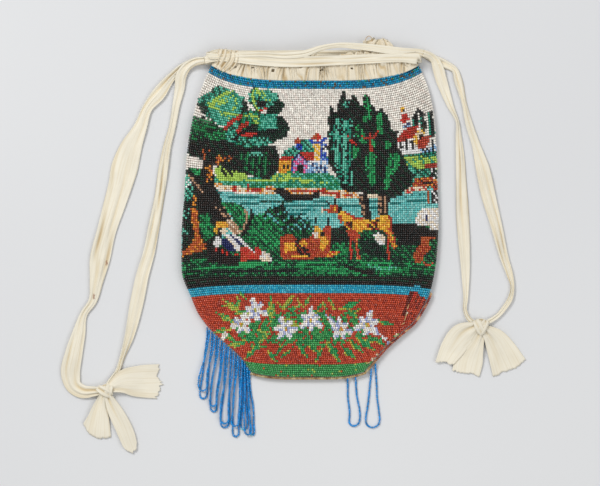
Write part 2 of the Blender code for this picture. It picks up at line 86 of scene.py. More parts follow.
# The drawstrings' routes over the floor: x, y, height of the ribbon's middle and its width, in millimetres
LEFT_OUTER_STRAND = (
    (-74.0, 115.9, 0.4, 4.8), (-81.0, 115.0, 0.4, 5.6), (-89.0, 111.6, 0.4, 5.0), (-97.0, 104.6, 0.4, 5.6),
    (-106.4, 92.4, 0.4, 9.0), (-113.8, 83.0, 0.4, 7.0), (-119.0, 69.3, 0.4, 9.8), (-126.0, 54.0, 0.4, 16.0),
    (-130.2, 40.6, 0.4, 18.0), (-133.0, 29.4, 0.4, 16.0), (-138.0, 12.6, 0.4, 15.0),
    (-142.8, -3.5, 0.4, 14.0),
    (-147.4, -23.1, 0.4, 14.0), (-149.8, -38.5, 0.4, 9.0), (-152.8, -53.2, 0.4, 5.6),
    (-158.2, -60.9, 0.4, 5.0),
    (-162.4, -76.3, 0.4, 10.0), (-165.9, -90.3, 0.4, 12.6), (-168.0, -104.3, 0.4, 13.0),
    (-165.5, -112.5, 0.5, 10.5),
    (-159.0, -116.2, 0.9, 9.0), (-152.0, -116.0, 1.6, 7.0), (-144.0, -115.2, 2.4, 5.0),
)
LEFT_INNER_STRAND = (
    (-74.0, 116.1, 6.6, 4.6), (-80.5, 115.2, 4.0, 5.6), (-86.4, 111.6, 1.9, 6.5), (-90.0, 106.4, 1.5, 7.4),
    (-91.4, 96.6, 0.5, 6.6), (-94.0, 84.0, 0.4, 5.0), (-96.6, 69.3, 0.4, 4.8), (-100.1, 56.0, 0.4, 5.8),
    (-102.9, 39.9, 0.4, 6.8), (-105.7, 20.3, 0.4, 6.4), (-110.0, -2.8, 0.4, 7.8), (-112.8, -18.0, 0.4, 8.4),
    (-117.6, -35.0, 0.4, 9.0), (-121.1, -51.8, 0.4, 9.0), (-126.7, -77.0, 0.4, 6.6),
    (-132.3, -93.8, 0.4, 3.6), (-134.8, -101.5, 0.5, 3.6), (-139.5, -109.5, 1.4, 5.0),
    (-142.0, -114.0, 2.4, 5.0),
)
RIGHT_OUTER_STRAND = (
    (79.5, 120.9, 0.4, 4.4), (87.0, 117.2, 0.4, 5.6), (95.2, 113.4, 0.4, 5.6), (101.5, 109.6, 0.4, 4.4),
    (104.0, 102.2, 0.4, 5.6), (108.2, 86.1, 0.4, 3.6), (111.7, 71.4, 0.4, 5.2), (116.6, 56.7, 0.4, 5.8),
    (121.1, 40.6, 0.4, 9.0), (125.3, 21.0, 0.4, 9.8), (130.9, 0.0, 0.4, 8.4), (136.5, -23.1, 0.4, 5.6),
    (140.2, -34.3, 0.4, 4.2), (142.0, -42.7, 0.4, 2.6), (140.4, -51.1, 0.4, 3.5), (136.5, -57.4, 0.4, 3.5),
    (131.3, -63.3, 0.6, 3.2), (126.0, -66.6, 1.4, 3.5), (121.0, -69.5, 2.4, 4.0),
)
RIGHT_INNER_STRAND = (
    (79.5, 121.0, 6.0, 4.4), (84.0, 119.4, 3.9, 5.0), (87.6, 116.2, 2.0, 6.5), (89.6, 111.4, 1.5, 8.0),
    (91.8, 103.6, 0.5, 8.0), (95.1, 93.8, 0.4, 6.3), (98.7, 84.0, 0.4, 4.2), (103.4, 73.5, 0.4, 2.4),
    (104.3, 62.3, 0.4, 4.2), (105.4, 47.6, 0.4, 6.3), (106.4, 25.2, 0.4, 7.7), (107.1, 7.7, 0.4, 8.4),
    (108.3, -14.0, 0.4, 7.7), (109.2, -36.4, 0.4, 5.6), (109.3, -50.4, 0.4, 3.2), (108.9, -59.5, 0.4, 2.5),
    (111.5, -65.1, 0.7, 3.0), (115.0, -68.0, 1.6, 3.5), (119.0, -70.0, 2.4, 4.0),
)
# The ribbons over the header's front: x, y, height above the silk's crests and width, in millimetres
LEFT_CASING = (
    (76.0, 116.5, 0.9, 5.0), (64.0, 117.4, 1.0, 6.0), (44.0, 116.8, 1.0, 6.8), (20.0, 115.6, 1.0, 6.8),
    (0.0, 114.8, 1.0, 7.0), (-20.0, 114.6, 1.0, 7.2), (-40.0, 115.6, 1.0, 6.6), (-54.0, 117.2, 1.0, 5.6),
    (-66.0, 117.6, 0.9, 4.8),
)
RIGHT_CASING = (
    (-60.0, 118.6, 1.2, 3.6), (-48.0, 119.6, 1.2, 4.2), (-34.0, 119.9, 1.4, 4.8), (-16.0, 119.0, 1.5, 5.2),
    (-4.0, 120.2, 1.5, 4.6), (8.0, 124.2, 1.3, 3.6), (20.0, 126.2, 1.1, 3.4), (34.0, 125.4, 1.0, 4.6),
    (50.0, 123.6, 1.0, 5.6), (64.0, 121.8, 1.0, 5.6),
)
# Each drawstring's knot: its middle, its length, width and height, and its turn on the floor in degrees
LEFT_KNOT = ((-142.8, -114.8, 2.9), (10.5, 7.0, 5.0), 20)
RIGHT_KNOT = ((119.7, -70.4, 2.9), (9.0, 9.6, 5.0), 0)
LEFT_TAILS = (
    ((-141.0, -114.0, 3.2, 5.0), (-131.0, -109.5, 2.0, 16.0), (-119.0, -109.0, 1.2, 22.0),
     (-105.5, -109.0, 0.7, 25.0)),
    ((-144.5, -117.0, 3.0, 4.0), (-147.0, -126.0, 1.5, 10.0), (-148.5, -136.0, 1.0, 16.0),
     (-149.5, -144.5, 0.7, 20.0)),
    ((-142.5, -117.0, 2.6, 4.0), (-138.5, -126.0, 2.2, 8.5), (-130.5, -142.0, 1.0, 11.5),
     (-124.0, -159.0, 0.6, 11.0)),
)
RIGHT_TAILS = (
    ((116.5, -70.0, 3.2, 6.0), (107.5, -75.6, 1.9, 15.5), (100.3, -85.4, 1.3, 16.5),
     (94.6, -96.0, 0.9, 12.5)),
    ((120.5, -73.5, 2.4, 4.0), (117.0, -82.0, 1.8, 10.0), (112.0, -93.0, 1.0, 19.0),
     (109.5, -103.0, 0.6, 20.0)),
    ((121.5, -71.5, 3.0, 6.0), (129.0, -78.6, 1.8, 16.0), (135.0, -88.5, 1.1, 22.0),
     (139.2, -98.0, 0.7, 26.0)),
)
# How each tail is cut: from one edge (-1) to the other (1), how far the end stands out, in millimetres
LEFT_CUTS = (
    ((-1.0, 1.2), (-0.62, -1.6), (-0.30, -2.4), (0.05, 1.4), (0.40, 2.6), (0.70, -0.4), (1.0, -4.0)),
    ((-1.0, 2.6), (-0.55, 4.4), (0.10, 4.0), (0.55, 1.0), (1.0, -4.4)),
    ((-1.0, -7.0), (-0.50, -2.0), (0.05, 0.8), (0.55, -1.6), (1.0, -6.5)),
)
RIGHT_CUTS = (
    ((-1.0, -2.4), (-0.20, -0.6), (0.50, 0.8), (1.0, 2.4)),
    ((-1.0, 0.6), (-0.40, -0.4), (0.30, 0.4), (1.0, 1.0)),
    ((-1.0, 1.0), (-0.40, 3.0), (0.20, 3.4), (1.0, 2.6)),
)
RIBBON_FULL_WIDTH = 0.024     # the silk ribbon laid flat
SILK_THICKNESS = 0.00022
RIBBON_STEP = 0.0011          # between the stations of a ribbon
TAIL_FRAY = 0.0003
TORN_TAIL_FRAY = 0.0008       # the left ribbon's first end is torn, and not cut
BEHIND_HEADER = (0.0006, 0.0050)       # the ribbon's height and width where it runs under the header
TURN_X = {-1: 0.0735, 1: -0.0680}      # where each ribbon turns round the header, by its side
TURN_WIDTH = 0.0040

# The fringe, as in the CAD: the places of a loop's two ends, the x and y of its lowest point and how wide
# it hangs, in millimetres, and whether it lies on the floor (0) or on the loops beside it (1)
STRAND_DIAMETER = 0.0013
FRINGE_PITCH = 0.00125
FRINGE_WIDTH = 0.0016         # the beads bulge beyond the plain strand
LOOP_TIE_RISE = 0.0018
LOOP_SIDE_SHARES = (0, 0.06, 0.14, 0.32, 0.52, 0.72, 0.88)
SLANT_STEP = 0.01
CLEARANCE = 0.0003
SEAM_DIAMETER = 0.0016
SEAM_END_PLACE = 0.30
SEAM_STEP = 0.00025
STITCH_PITCH = 0.00135
UP = (0.0, 0.0, 1.0)
LEFT_FRINGE = (
    (0.172, 0.154, -74.6, -121.8, 4.4, 0), (0.163, 0.145, -75.4, -116.2, 5.2, 1),
    (0.138, 0.121, -67.9, -130.9, 4.6, 0), (0.130, 0.112, -67.7, -127.0, 5.2, 1),
    (0.105, 0.089, -59.6, -142.1, 5.0, 0), (0.097, 0.079, -60.2, -139.2, 5.2, 1),
    (0.072, 0.057, -52.2, -148.4, 4.6, 0), (0.064, 0.046, -52.2, -141.0, 5.2, 1),
    (0.041, 0.029, -46.2, -143.6, 3.6, 0), (0.033, 0.017, -43.8, -147.0, 4.6, 1),
    (0.014, 0.003, -40.6, -147.4, 3.6, 0),
)
BOTTOM_FRINGE = ((0.855, 0.925, 31.2, -141.0, 7.4, 0),)
RIGHT_FRINGE = ((0.018, 0.038, 44.0, -142.0, 8.8, 0),)

# The camera looks straight down at the pouch
VIEW_MIDDLE = (-0.007, -0.0119)
VIEW_WIDTH = 0.420
CAMERA_HEIGHT = 1.900
SENSOR_WIDTH = 36.0
VIEW_PLANE = 0.006


def srgb(red, green, blue):
    """A colour from its 0 to 255 values, as a shader takes it."""
    values = np.array((red, green, blue), float) / 255
    return tuple(np.where(values <= 0.04045, values / 12.92, ((values + 0.055) / 1.055) ** 2.4))


def smooth_values(points, places):
    """The values, at these places, of the smooth curve through (place, value) points."""
    x, y = np.array(points, float).T
    slopes = np.gradient(y, x)
    places = np.clip(places, x[0], x[-1])
    i = np.clip(np.searchsorted(x, places) - 1, 0, len(x) - 2)
    span = x[i + 1] - x[i]
    u = (places - x[i]) / span
    return (
        (2 * u**3 - 3 * u**2 + 1) * y[i] + (u**3 - 2 * u**2 + u) * span * slopes[i]
        + (3 * u**2 - 2 * u**3) * y[i + 1] + (u**3 - u**2) * span * slopes[i + 1])


def unit(vectors):
    return vectors / np.linalg.norm(vectors, axis=1)[:, None]


def spans_of(line):
    """The lengths between a line's points, on x, y and z."""
    return np.linalg.norm(np.diff(line[:, :3], axis=0), axis=1)


def run_along(line):
    """How far along a line each of its points lies."""
    return np.concatenate([[0], np.cumsum(spans_of(line))])


def facing_up(line):
    return np.tile(UP, (len(line), 1))


def joined(meshes):
    """The points and triangles of several meshes as those of one."""
    starts = np.cumsum([0] + [len(points) for points, _ in meshes])
    return (np.concatenate([points for points, _ in meshes]),
            np.concatenate([faces + start for (_, faces), start in zip(meshes, starts)]))


def edge_left(place):
    return -BAG_WIDTH / 2 * smooth_values(LEFT_EDGE, place)


def edge_right(place):
    return BAG_WIDTH / 2 * smooth_values(RIGHT_EDGE, place)


def row_y(place, across):
    return place * BAG_LENGTH - ORIGIN_ABOVE_BOTTOM + smooth_values(ROW_BOW, place) * MM * across**4


def slant(edge, place):
    """How much wider a fold across the bag is where its edge slants."""
    low, high = np.maximum(place - SLANT_STEP, 0), np.minimum(place + SLANT_STEP, 1)
    return np.hypot(1, (edge(high) - edge(low)) / ((high - low) * BAG_LENGTH))


def half_round(place, inset):
    """A row's left and right edge, this far inside the bag, and the widths of its two rounded sides."""
    fold = FOLD_RADIUS - inset
    left = edge_left(place) + inset * slant(edge_left, place)
    right = edge_right(place) - inset * slant(edge_right, place)
    left_fold, right_fold = fold * slant(edge_left, place), fold * slant(edge_right, place)
    return left, right, left_fold, right_fold


def bag_surface(place, share, side, inset):
    """Points on the bag, with share running over one face from the left fold's edge to the right's.

    side is 1 on the front and -1 on the back.
    """
    place, share = np.asarray(place, float), np.asarray(share, float)
    left, right, left_fold, right_fold = half_round(place, inset)
    fold = FOLD_RADIUS - inset
    closing = np.clip(1 - place * BAG_LENGTH / FOLD_RADIUS, 0, 1)
    height = fold * np.sqrt(1 - closing**2)
    opened = np.clip((place * BAG_LENGTH - FOLD_RADIUS) / CROWN_LENGTH, 0, 1)
    swell = CROWN * (1 - (1 - opened)**2)
    arc_left, arc_right = left_fold * math.pi / 2, right_fold * math.pi / 2
    flat = right - right_fold - left - left_fold
    run = share * (arc_left + flat + arc_right)
    from_left = np.clip(run / arc_left, 0, 1) * math.pi / 2
    from_right = np.clip((arc_left + flat + arc_right - run) / arc_right, 0, 1) * math.pi / 2
    along = np.clip((run - arc_left) / flat, 0, 1)
    x = np.where(run > arc_left + flat, right - right_fold * (1 - np.cos(from_right)), np.where(
        run < arc_left, left + left_fold * (1 - np.cos(from_left)), left + left_fold + flat * along))
    rise = height * np.sin(np.minimum(from_left, from_right))
    z = FOLD_RADIUS + side * rise
    if side > 0:
        z = z + swell * (1 - np.abs(2 * along - 1)**3)
    y = row_y(place, (2 * x - left - right) / (right - left))
    return np.stack([x, y, z], -1)


def lie(x, y):
    """How far the soft fabric lies off its plain form."""
    return 0.00022 * (
        np.sin(x * 118 + 1.3 * np.sin(y * 74)) + np.sin(y * 143 + 0.9 * np.sin(x * 96) + 1.1)
        + 0.8 * np.sin((x + y) * 205 + 0.4))


def new_object(name, data):
    thing = bpy.data.objects.new(name, data)
    bpy.context.scene.collection.objects.link(thing)
    return thing


def new_mesh_object(name, points, faces):
    mesh = bpy.data.meshes.new(name)
    mesh.from_pydata([tuple(p) for p in points], [], [tuple(f) for f in faces])
    mesh.validate()
    return new_object(name, mesh)


def only(thing):
    bpy.ops.object.select_all(action="DESELECT")
    thing.select_set(True)
    bpy.context.view_layer.objects.active = thing


def apply_modifier(thing, kind, **values):
    only(thing)
    modifier = thing.modifiers.new(kind.lower(), kind)
    for name, value in values.items():
        setattr(modifier, name, value)
    bpy.ops.object.modifier_apply(modifier=modifier.name)


def grid_faces(rows, columns, closed=False):
    faces = []
    for r in range(rows - 1):
        for c in range(columns if closed else columns - 1):
            n = (c + 1) % columns
            faces.append((r * columns + c, r * columns + n, (r + 1) * columns + n, (r + 1) * columns + c))
    return faces


def give_uv(thing, uvs, name="lay"):
    """A UV map whose values, one pair a point, are lengths over the cloth in metres."""
    mesh = thing.data
    layer = mesh.uv_layers.new(name=name)
    corners = np.empty(len(mesh.loops), dtype=np.int32)
    mesh.loops.foreach_get("vertex_index", corners)
    layer.data.foreach_set("uv", np.asarray(uvs, np.float32)[corners].ravel())


def give_fold_shade(thing, values):
    """How deep each point lies in a fold, 0 in the valley and 1 on the crest: the silk's colour takes it as
    painted shade, darker in the valleys.
    """
    layer = thing.data.attributes.new("fold_and_shade", "FLOAT", "POINT")
    layer.data.foreach_set("value", np.clip(values, 0, 1).astype(np.float32).ravel())


def give_bead_colour(mesh, shades):
    layer = mesh.color_attributes.new("bead_colour", "FLOAT_COLOR", "POINT")
    layer.data.foreach_set("color", np.hstack([shades, np.ones((len(shades), 1))]).astype(np.float32).ravel())


def dress(thing, material, slot_name, *nodes):
    """The piece gets its material and its body, and the CAD nodes that it stands for are hidden. Its slot
    name is not used.
    """
    thing.data.materials.clear()
    thing.data.materials.append(material)
    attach(thing, BODY)
    if nodes:
        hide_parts(*nodes)
    return thing


class Shader:
    """A material's nodes, made one after another."""

    def __init__(self, name, **sockets):
        self.material = bpy.data.materials.new(name)
        self.material.use_nodes = True
        self.nodes = self.material.node_tree.nodes
        self.links = self.material.node_tree.links
        self.surface = self.nodes["Principled BSDF"]
        for socket, value in sockets.items():
            self.surface.inputs[socket.replace("_", " ")].default_value = value

    def node(self, kind, values=None, **inputs):
        made = self.nodes.new(kind)
        for name, value in (values or {}).items():
            setattr(made, name, value)
        for name, value in inputs.items():
            self.put(value, made.inputs[int(name[1:])] if name[0] == "i" and name[1:].isdigit()
                     else made.inputs[name.replace("_", " ")])
        return made

    def put(self, value, socket):
        if isinstance(value, bpy.types.NodeSocket):
            self.links.new(value, socket)
        else:
            socket.default_value = value

    def place(self):
        return self.node("ShaderNodeTexCoord").outputs["Object"]

    def attribute(self, name, output="Color"):
        return self.node("ShaderNodeAttribute", {"attribute_name": name}).outputs[output]

    def mapped(self, source, scale):
        return self.node("ShaderNodeMapping", Vector=source, Scale=scale).outputs[0]

    def ranged(self, value, low, high, to_low=0.0, to_high=1.0):
        return self.node("ShaderNodeMapRange", Value=value, From_Min=low, From_Max=high, To_Min=to_low,
                         To_Max=to_high).outputs[0]

    def threads(self, source, direction, scale, distortion):
        return self.node("ShaderNodeTexWave", {"bands_direction": direction}, Vector=source, Scale=scale,
                         Distortion=distortion, Detail=1.0).outputs["Fac"]

    def noise(self, source, scale, detail=3.0, roughness=0.5):
        return self.node("ShaderNodeTexNoise", Vector=source, Scale=scale, Detail=detail,
                         Roughness=roughness).outputs["Fac"]

    def ramp(self, source, *stops):
        made = self.node("ShaderNodeValToRGB", Fac=source)
        elements = made.color_ramp.elements
        while len(elements) < len(stops):
            elements.new(0.5)
        for element, (place, colour) in zip(elements, stops):
            element.position = place
            element.color = (*colour, 1) if hasattr(colour, "__len__") else (colour, colour, colour, 1)
        return made.outputs["Color"]

    def blend(self, kind, share, first, second):
        made = self.node("ShaderNodeMix", {"data_type": "RGBA", "blend_type": kind})
        self.put(share, made.inputs[0])
        self.put((*first, 1) if isinstance(first, tuple) else first, made.inputs[6])
        self.put((*second, 1) if isinstance(second, tuple) else second, made.inputs[7])
        return made.outputs[2]

    def maths(self, operation, first, second=0.0):
        return self.node("ShaderNodeMath", {"operation": operation}, i0=first, i1=second).outputs[0]

    def bump(self, height, strength, distance, under=None):
        made = self.node("ShaderNodeBump", Height=height, Strength=strength, Distance=distance)
        if under is not None:
            self.links.new(under, made.inputs["Normal"])
        return made.outputs["Normal"]

    def give(self, **sockets):
        for socket, value in sockets.items():
            self.put(value, self.surface.inputs[socket.replace("_", " ")])


def glass_beads():
    """Small glass beads, each in its own colour."""
    shader = Shader("bag_glass_beads", Roughness=0.16, IOR=1.52, Coat_Weight=0.3, Coat_Roughness=0.08)
    place = shader.place()
    shade = shader.ramp(shader.noise(place, 900.0, 2.0), (0.30, 0.82), (0.70, 1.08))
    shader.give(Base_Color=shader.blend("MULTIPLY", 1.0, shader.attribute("bead_colour"), shade))
    shader.give(Roughness=shader.ranged(shader.noise(place, 260.0, 2.0), 0.3, 0.7, 0.12, 0.34))
    return shader.material


def fringe_glass():
    """The fringe's blue glass, a little smoother than the bag's."""
    shader = Shader("fringe_glass_beads", Roughness=0.12, IOR=1.52, Coat_Weight=0.5, Coat_Roughness=0.06)
    shade = shader.ramp(shader.noise(shader.place(), 700.0, 2.0), (0.3, 0.78), (0.7, 1.15))
    shader.give(Base_Color=shader.blend("MULTIPLY", 1.0, shader.attribute("bead_colour"), shade))
    return shader.material


def ground_thread():
    """The knitted thread that shows between the beads, with the coloured light through the glass painted on
    it.
    """
    shader = Shader("knitting_thread", Roughness=0.95)
    fibre = shader.noise(shader.mapped(shader.place(), (1800, 700, 1800)), 1.0, 3.0)
    thread = shader.ramp(fibre, (0.25, srgb(66, 54, 48)), (0.75, srgb(112, 94, 84)))
    # Painted light: the thread takes the colour of the light that comes through its nearest bead
    glass = shader.blend("MULTIPLY", 1.0, shader.attribute("bead_colour"), shader.ramp(
        fibre, (0.25, 0.50), (0.75, 0.92)))
    shader.give(Base_Color=shader.blend("MIX", 0.62, thread, glass))
    shader.give(Normal=shader.bump(fibre, 0.6, 0.0002))
    return shader.material


# Small rust stains on the left ribbon: x, y and how far they spread, in millimetres
RUST_SPOTS = ((-142.7, -26.0, 2.2), (-151.7, -49.4, 2.4))
RUST_SQUEEZE = 0.45           # they run along the ribbon: their width over their length


def silk(name, light, shade, stain=None, fold_shaded=True):
    """Old plain-woven silk: fine threads along and across, soft streaks, a sheen, a few stains and, where
    asked, painted shade in its folds.
    """
    shader = Shader(name, Roughness=0.5, IOR=1.45, Sheen_Weight=0.35, Sheen_Roughness=0.35)
    lay = shader.node("ShaderNodeUVMap", {"uv_map": "lay"}).outputs["UV"]
    place = shader.place()
    streaks = shader.noise(shader.mapped(lay, (900, 24, 1)), 1.0, 4.0, 0.6)
    clouds = shader.noise(place, 36.0, 3.0)
    colour = shader.blend("MULTIPLY", 1.0, shader.ramp(streaks, (0.26, shade), (0.52, light)),
                          shader.ramp(clouds, (0.30, 0.91), (0.60, 1.0)))
    # Painted shade: the silk's colour darkens towards the valleys of its folds
    if fold_shaded:
        fold_and_shade = shader.attribute("fold_and_shade", "Fac")
        colour = shader.blend("MULTIPLY", 1.0, colour, shader.ramp(
            fold_and_shade, (0.0, srgb(206, 184, 148)), (0.30, srgb(243, 236, 222)), (0.58, (1.0, 1.0, 1.0))))
    if stain is not None:
        blots = shader.noise(place, 900.0, 3.0)
        plan = shader.mapped(place, (1.0, RUST_SQUEEZE, 0.0))
        for x, y, size in RUST_SPOTS:
            away = shader.node("ShaderNodeVectorMath", {"operation": "DISTANCE"}, i0=plan,
                               i1=(x * MM, RUST_SQUEEZE * y * MM, 0.0)).outputs["Value"]
            away = shader.maths("ADD", shader.maths("DIVIDE", away, size * MM), blots)
            colour = shader.blend("MIX", shader.ramp(away, (0.55, 0.92), (1.0, 0.0)), colour, stain)
    shader.give(Base_Color=colour)
    warp = shader.threads(lay, "X", 1500.0, 1.5)
    weft = shader.threads(lay, "Y", 1200.0, 1.2)
    weave = shader.bump(shader.maths("ADD", warp, weft), 0.12, 0.0001)
    wrinkles = shader.noise(shader.mapped(lay, (420, 90, 1)), 1.0, 4.0, 0.55)
    shader.give(Normal=shader.bump(wrinkles, 0.22, 0.0006, weave))
    shader.give(Roughness=shader.ranged(streaks, 0.3, 0.7, 0.40, 0.62))
    return shader.material


def sewing_thread():
    """Mottled tan thread, which turns red and cream on the right slant's seam."""
    shader = Shader("overcast_thread", Roughness=0.85, Sheen_Weight=0.2)
    place = shader.place()
    spots = shader.noise(place, 240.0, 2.0)
    tan = shader.ramp(spots, (0.32, srgb(140, 92, 50)), (0.50, srgb(196, 160, 104)),
                      (0.68, srgb(226, 208, 164)))
    red = shader.ramp(spots, (0.34, srgb(122, 44, 30)), (0.54, srgb(184, 70, 46)),
                      (0.66, srgb(232, 190, 136)))
    where = shader.node("ShaderNodeSeparateXYZ", Vector=place).outputs
    slant = 1.0
    # That is above the bottom, below the mouth and lower than the mending stitches
    for axis, plain, coloured in (("Y", -0.098, -0.090), ("Y", 0.0, -0.010), ("Z", 0.0060, 0.0050)):
        slant = shader.maths("MULTIPLY", slant, shader.ranged(where[axis], plain, coloured))
    shader.give(Base_Color=shader.blend("MIX", slant, tan, red))
    shader.give(Normal=shader.bump(shader.noise(place, 3200.0, 2.0), 0.5, 0.0002))
    return shader.material


def set_camera():
    data = bpy.data.cameras.new("straight_down")
    data.sensor_width = SENSOR_WIDTH
    data.lens = SENSOR_WIDTH * (CAMERA_HEIGHT - VIEW_PLANE) / VIEW_WIDTH
    data.clip_end = 20
    camera = new_object("straight_down", data)
    camera.location = (*VIEW_MIDDLE, CAMERA_HEIGHT)
    bpy.context.scene.camera = camera


def set_floor_and_light():
    bpy.ops.mesh.primitive_plane_add(size=6, location=(0, 0, 0))
    floor = bpy.context.object
    floor.name = "studio_floor"
    shader = Shader("pale_floor", Roughness=0.9)
    shader.give(Base_Color=shader.ramp(
        shader.noise(shader.place(), 1.6, 2.0), (0.3, srgb(222, 223, 225)), (0.7, srgb(230, 231, 232))))
    floor.data.materials.append(shader.material)
    scene = bpy.context.scene
    world = bpy.data.worlds.new("soft_room")
    scene.world = world
    world.use_nodes = True
    background = world.node_tree.nodes["Background"]
    background.inputs["Color"].default_value = (1, 1, 1, 1)
    background.inputs["Strength"].default_value = 0.42
    for name, place, size, power in (
            ("key_light", (-0.9, 1.0, 1.6), 0.7, 22.0), ("fill_light", (1.1, -0.5, 1.5), 1.2, 9.0)):
        light = bpy.data.lights.new(name, "AREA")
        light.size = size
        light.energy = power
        lamp = new_object(name, light)
        lamp.location = place
        lamp.rotation_euler = (-Vector(place)).to_track_quat("-Z", "Y").to_euler()
    scene.view_settings.view_transform = "Standard"


def along_route(points, step):
    """A smooth line of values through the route's points, at even steps of its length on x, y and z."""
    points = np.array(points, float)
    places = run_along(points)
    fine = np.linspace(0, places[-1], max(int(places[-1] / (step / 4)), 8))
    values = np.stack([smooth_values(list(zip(places, column)), fine) for column in points.T], -1)
    run = run_along(values)
    even = np.linspace(0, run[-1], max(int(round(run[-1] / step)), 4) + 1)
    return np.stack([np.interp(even, run, column) for column in values.T], -1)


def silk_strip(name, stations, facings, seed, columns=17, full_width=RIBBON_FULL_WIDTH, folds=1.8,
               least=0.00012, floor=True, frayed=0.0, depth_limit=0.00115, cut=None, pinched=False):
    """A crumpled silk ribbon along stations (x, y, z, width in metres), facing as given, which carries
    painted shade for its folds.

    Where it is narrower than it lies flat, the silk is gathered into folds of about the missing width.
    """
    chance = np.random.default_rng(seed)
    middles, widths = stations[:, :3], stations[:, 3]
    along = np.gradient(middles, axis=0)
    side = unit(np.cross(along, facings))
    length = run_along(stations)
    u = np.linspace(-1, 1, columns)[None, :]
    s = length[:, None]
    depth = np.clip(0.16 * (full_width - widths) / folds, 0.0002, depth_limit)[:, None]
    drift = chance.uniform(0, 6.28, 5)
    # Waves of several lengths over each other, so that no two folds are alike
    wave = (
        np.sin(u * folds * 3.1 + drift[0] + 1.9 * np.sin(s * 31 + drift[1]))
        + 0.55 * np.sin(u * folds * 5.3 + drift[2] + 2.2 * np.sin(s * 53 + drift[3]))
        + 0.25 * np.sin(u * 7 + s * 150 + drift[4])) * (0.72 + 0.28 * np.sin(s * 47 + drift[3] * 2))
    if pinched:
        wave = wave * (0.22 + 0.78 * np.exp(-s / 0.011))
    shift = 0.10 * np.sin(u * folds * 3.1 + drift[1] + s * 21)
    across = (u + shift * (1 - u**2)) * widths[:, None] / 2
    across = across * (1 + 0.05 * np.sin(s * 83 + drift[2]))
    raised = depth * wave * 0.6
    if floor:
        raised = raised + depth * 1.1
    sign = np.where(facings[:, 2] < -0.3, -1.0, 1.0)[:, None] if floor else 1.0
    points = middles[:, None, :] + side[:, None, :] * across[..., None]
    points = points + facings[:, None, :] * (raised * sign)[..., None]
    if frayed:
        torn = chance.normal(0, frayed, columns) + frayed * 1.3 * np.sin(u[0] * 4.1 + drift[3])
        if cut is not None:
            torn = torn + np.interp(u[0], *np.array(cut).T) * MM
        reach = 10 if cut is not None else 2
        for back in range(reach):
            share = (1 - back / reach) if cut is not None else (1.0, 0.35)[back]
            points[-1 - back] += along[-1] / np.linalg.norm(along[-1]) * torn[:, None] * share
    points[..., 2] = np.maximum(points[..., 2], least + SILK_THICKNESS / 2)
    ribbon = new_mesh_object(name, points.reshape(-1, 3), grid_faces(len(stations), columns))
    flat = np.linspace(-full_width / 2, full_width / 2, columns)
    give_uv(ribbon, np.stack(np.broadcast_arrays(flat[None, :], length[:, None]), -1).reshape(-1, 2))
    # How deep each point lies in a fold, for the painted shade in the folds
    give_fold_shade(ribbon, 0.62 + 0.34 * wave)
    ribbon.data.shade_smooth()
    apply_modifier(ribbon, "SOLIDIFY", thickness=SILK_THICKNESS, offset=0)
    return ribbon


def rim_share(x):
    """Where x lies over the beadwork's top edge, from -1 at its left to 1 at its right."""
    left, right = edge_left(1.0), edge_right(1.0)
    return np.clip((2 * x - left - right) / (right - left), -1, 1)


def header_front_z(x):
    across = np.abs(rim_share(x))
    return HEADER_LIFT + 2 * HEADER_FOLD_RADIUS + HEADER_CROWN * (1 - across**3) + 0.0004


def drawstring(ribbon_silk, side, outer, inner, casing, knot_values, tails, cuts):
    """One ribbon: two strands over the floor, the part that runs round the header, the knot and its tails."""
    word = "left" if side < 0 else "right"
    node = f"drawstring_{word}"
    for kind, route, seed, columns in (("outer", outer, 3, 19), ("inner", inner, 8, 15)):
        stations = along_route(np.array(route) * MM, RIBBON_STEP)
        strand = silk_strip(f"{word}_{kind}_strand", stations, facing_up(stations), seed + side, columns)
        dress(strand, ribbon_silk, "ribbon_silk", node)
    place, size, turn = knot_values
    knot = ribbon_knot(f"{word}_knot", place, size, turn)
    dress(knot, ribbon_silk, "ribbon_silk", node)
    ends = [knot] + knot_wraps(word, place, size, turn, ribbon_silk, node)
    for number, (tail, cut) in enumerate(zip(tails, cuts), 1):
        stations = along_route(np.array(tail) * MM, RIBBON_STEP)
        torn = side < 0 and number == 1
        piece = silk_strip(f"{word}_tail_{number}", stations, facing_up(stations), 20 + number + side,
                           columns=31, folds=1.5, frayed=TORN_TAIL_FRAY if torn else TAIL_FRAY, cut=cut,
                           pinched=True)
        dress(piece, ribbon_silk, "ribbon_silk", node)
        ends.append(piece)
    casing_ribbon(word, side, outer, inner, casing, ribbon_silk, node)


def casing_ribbon(word, side, outer, inner, casing, ribbon_silk, node):
    """The part of a ribbon that runs behind the header, round its far end and over its front."""
    near, far_x = np.array(outer[0][:3]) * MM, TURN_X[side]
    route = [(near[0] + (far_x - near[0]) * k / 8, near[1], *BEHIND_HEADER) for k in range(9)]
    facings = [(0, 0, -1)] * len(route)
    start = np.array(casing[0][:2]) * MM
    high = float(header_front_z(start[0])) + casing[0][2] * MM
    for degrees in (-60, -20, 20, 60):
        a = math.radians(degrees)
        route.append((far_x - side * math.cos(a) * high / 2,
                      near[1] + (start[1] - near[1]) * (degrees + 90) / 180,
                      high / 2 + math.sin(a) * high / 2, TURN_WIDTH))
        facings.append((-side * math.cos(a), 0, math.sin(a)))
    for x, y, above, width in casing:
        route.append((x * MM, y * MM, float(header_front_z(x * MM)) + above * MM, width * MM))
        facings.append((0, 0, 1))
    for x, y, z, width in inner[:2]:
        route.append((x * MM, y * MM, z * MM + 0.0004, width * MM))
        facings.append((0, 0, 1))
    stations = along_route(np.hstack([np.array(route), np.array(facings, float)]), 0.0012)
    ribbon = silk_strip(f"{word}_casing_ribbon", stations[:, :4], unit(stations[:, 4:]), 40 + side,
                        columns=15, full_width=0.014, folds=2.2, floor=False)
    dress(ribbon, ribbon_silk, "ribbon_silk", node)


# The turns of silk over a knot: their direction over it in degrees, their shift along it and their width
KNOT_WRAPS = ((62, -0.30, 0.0052), (118, 0.26, 0.0056))


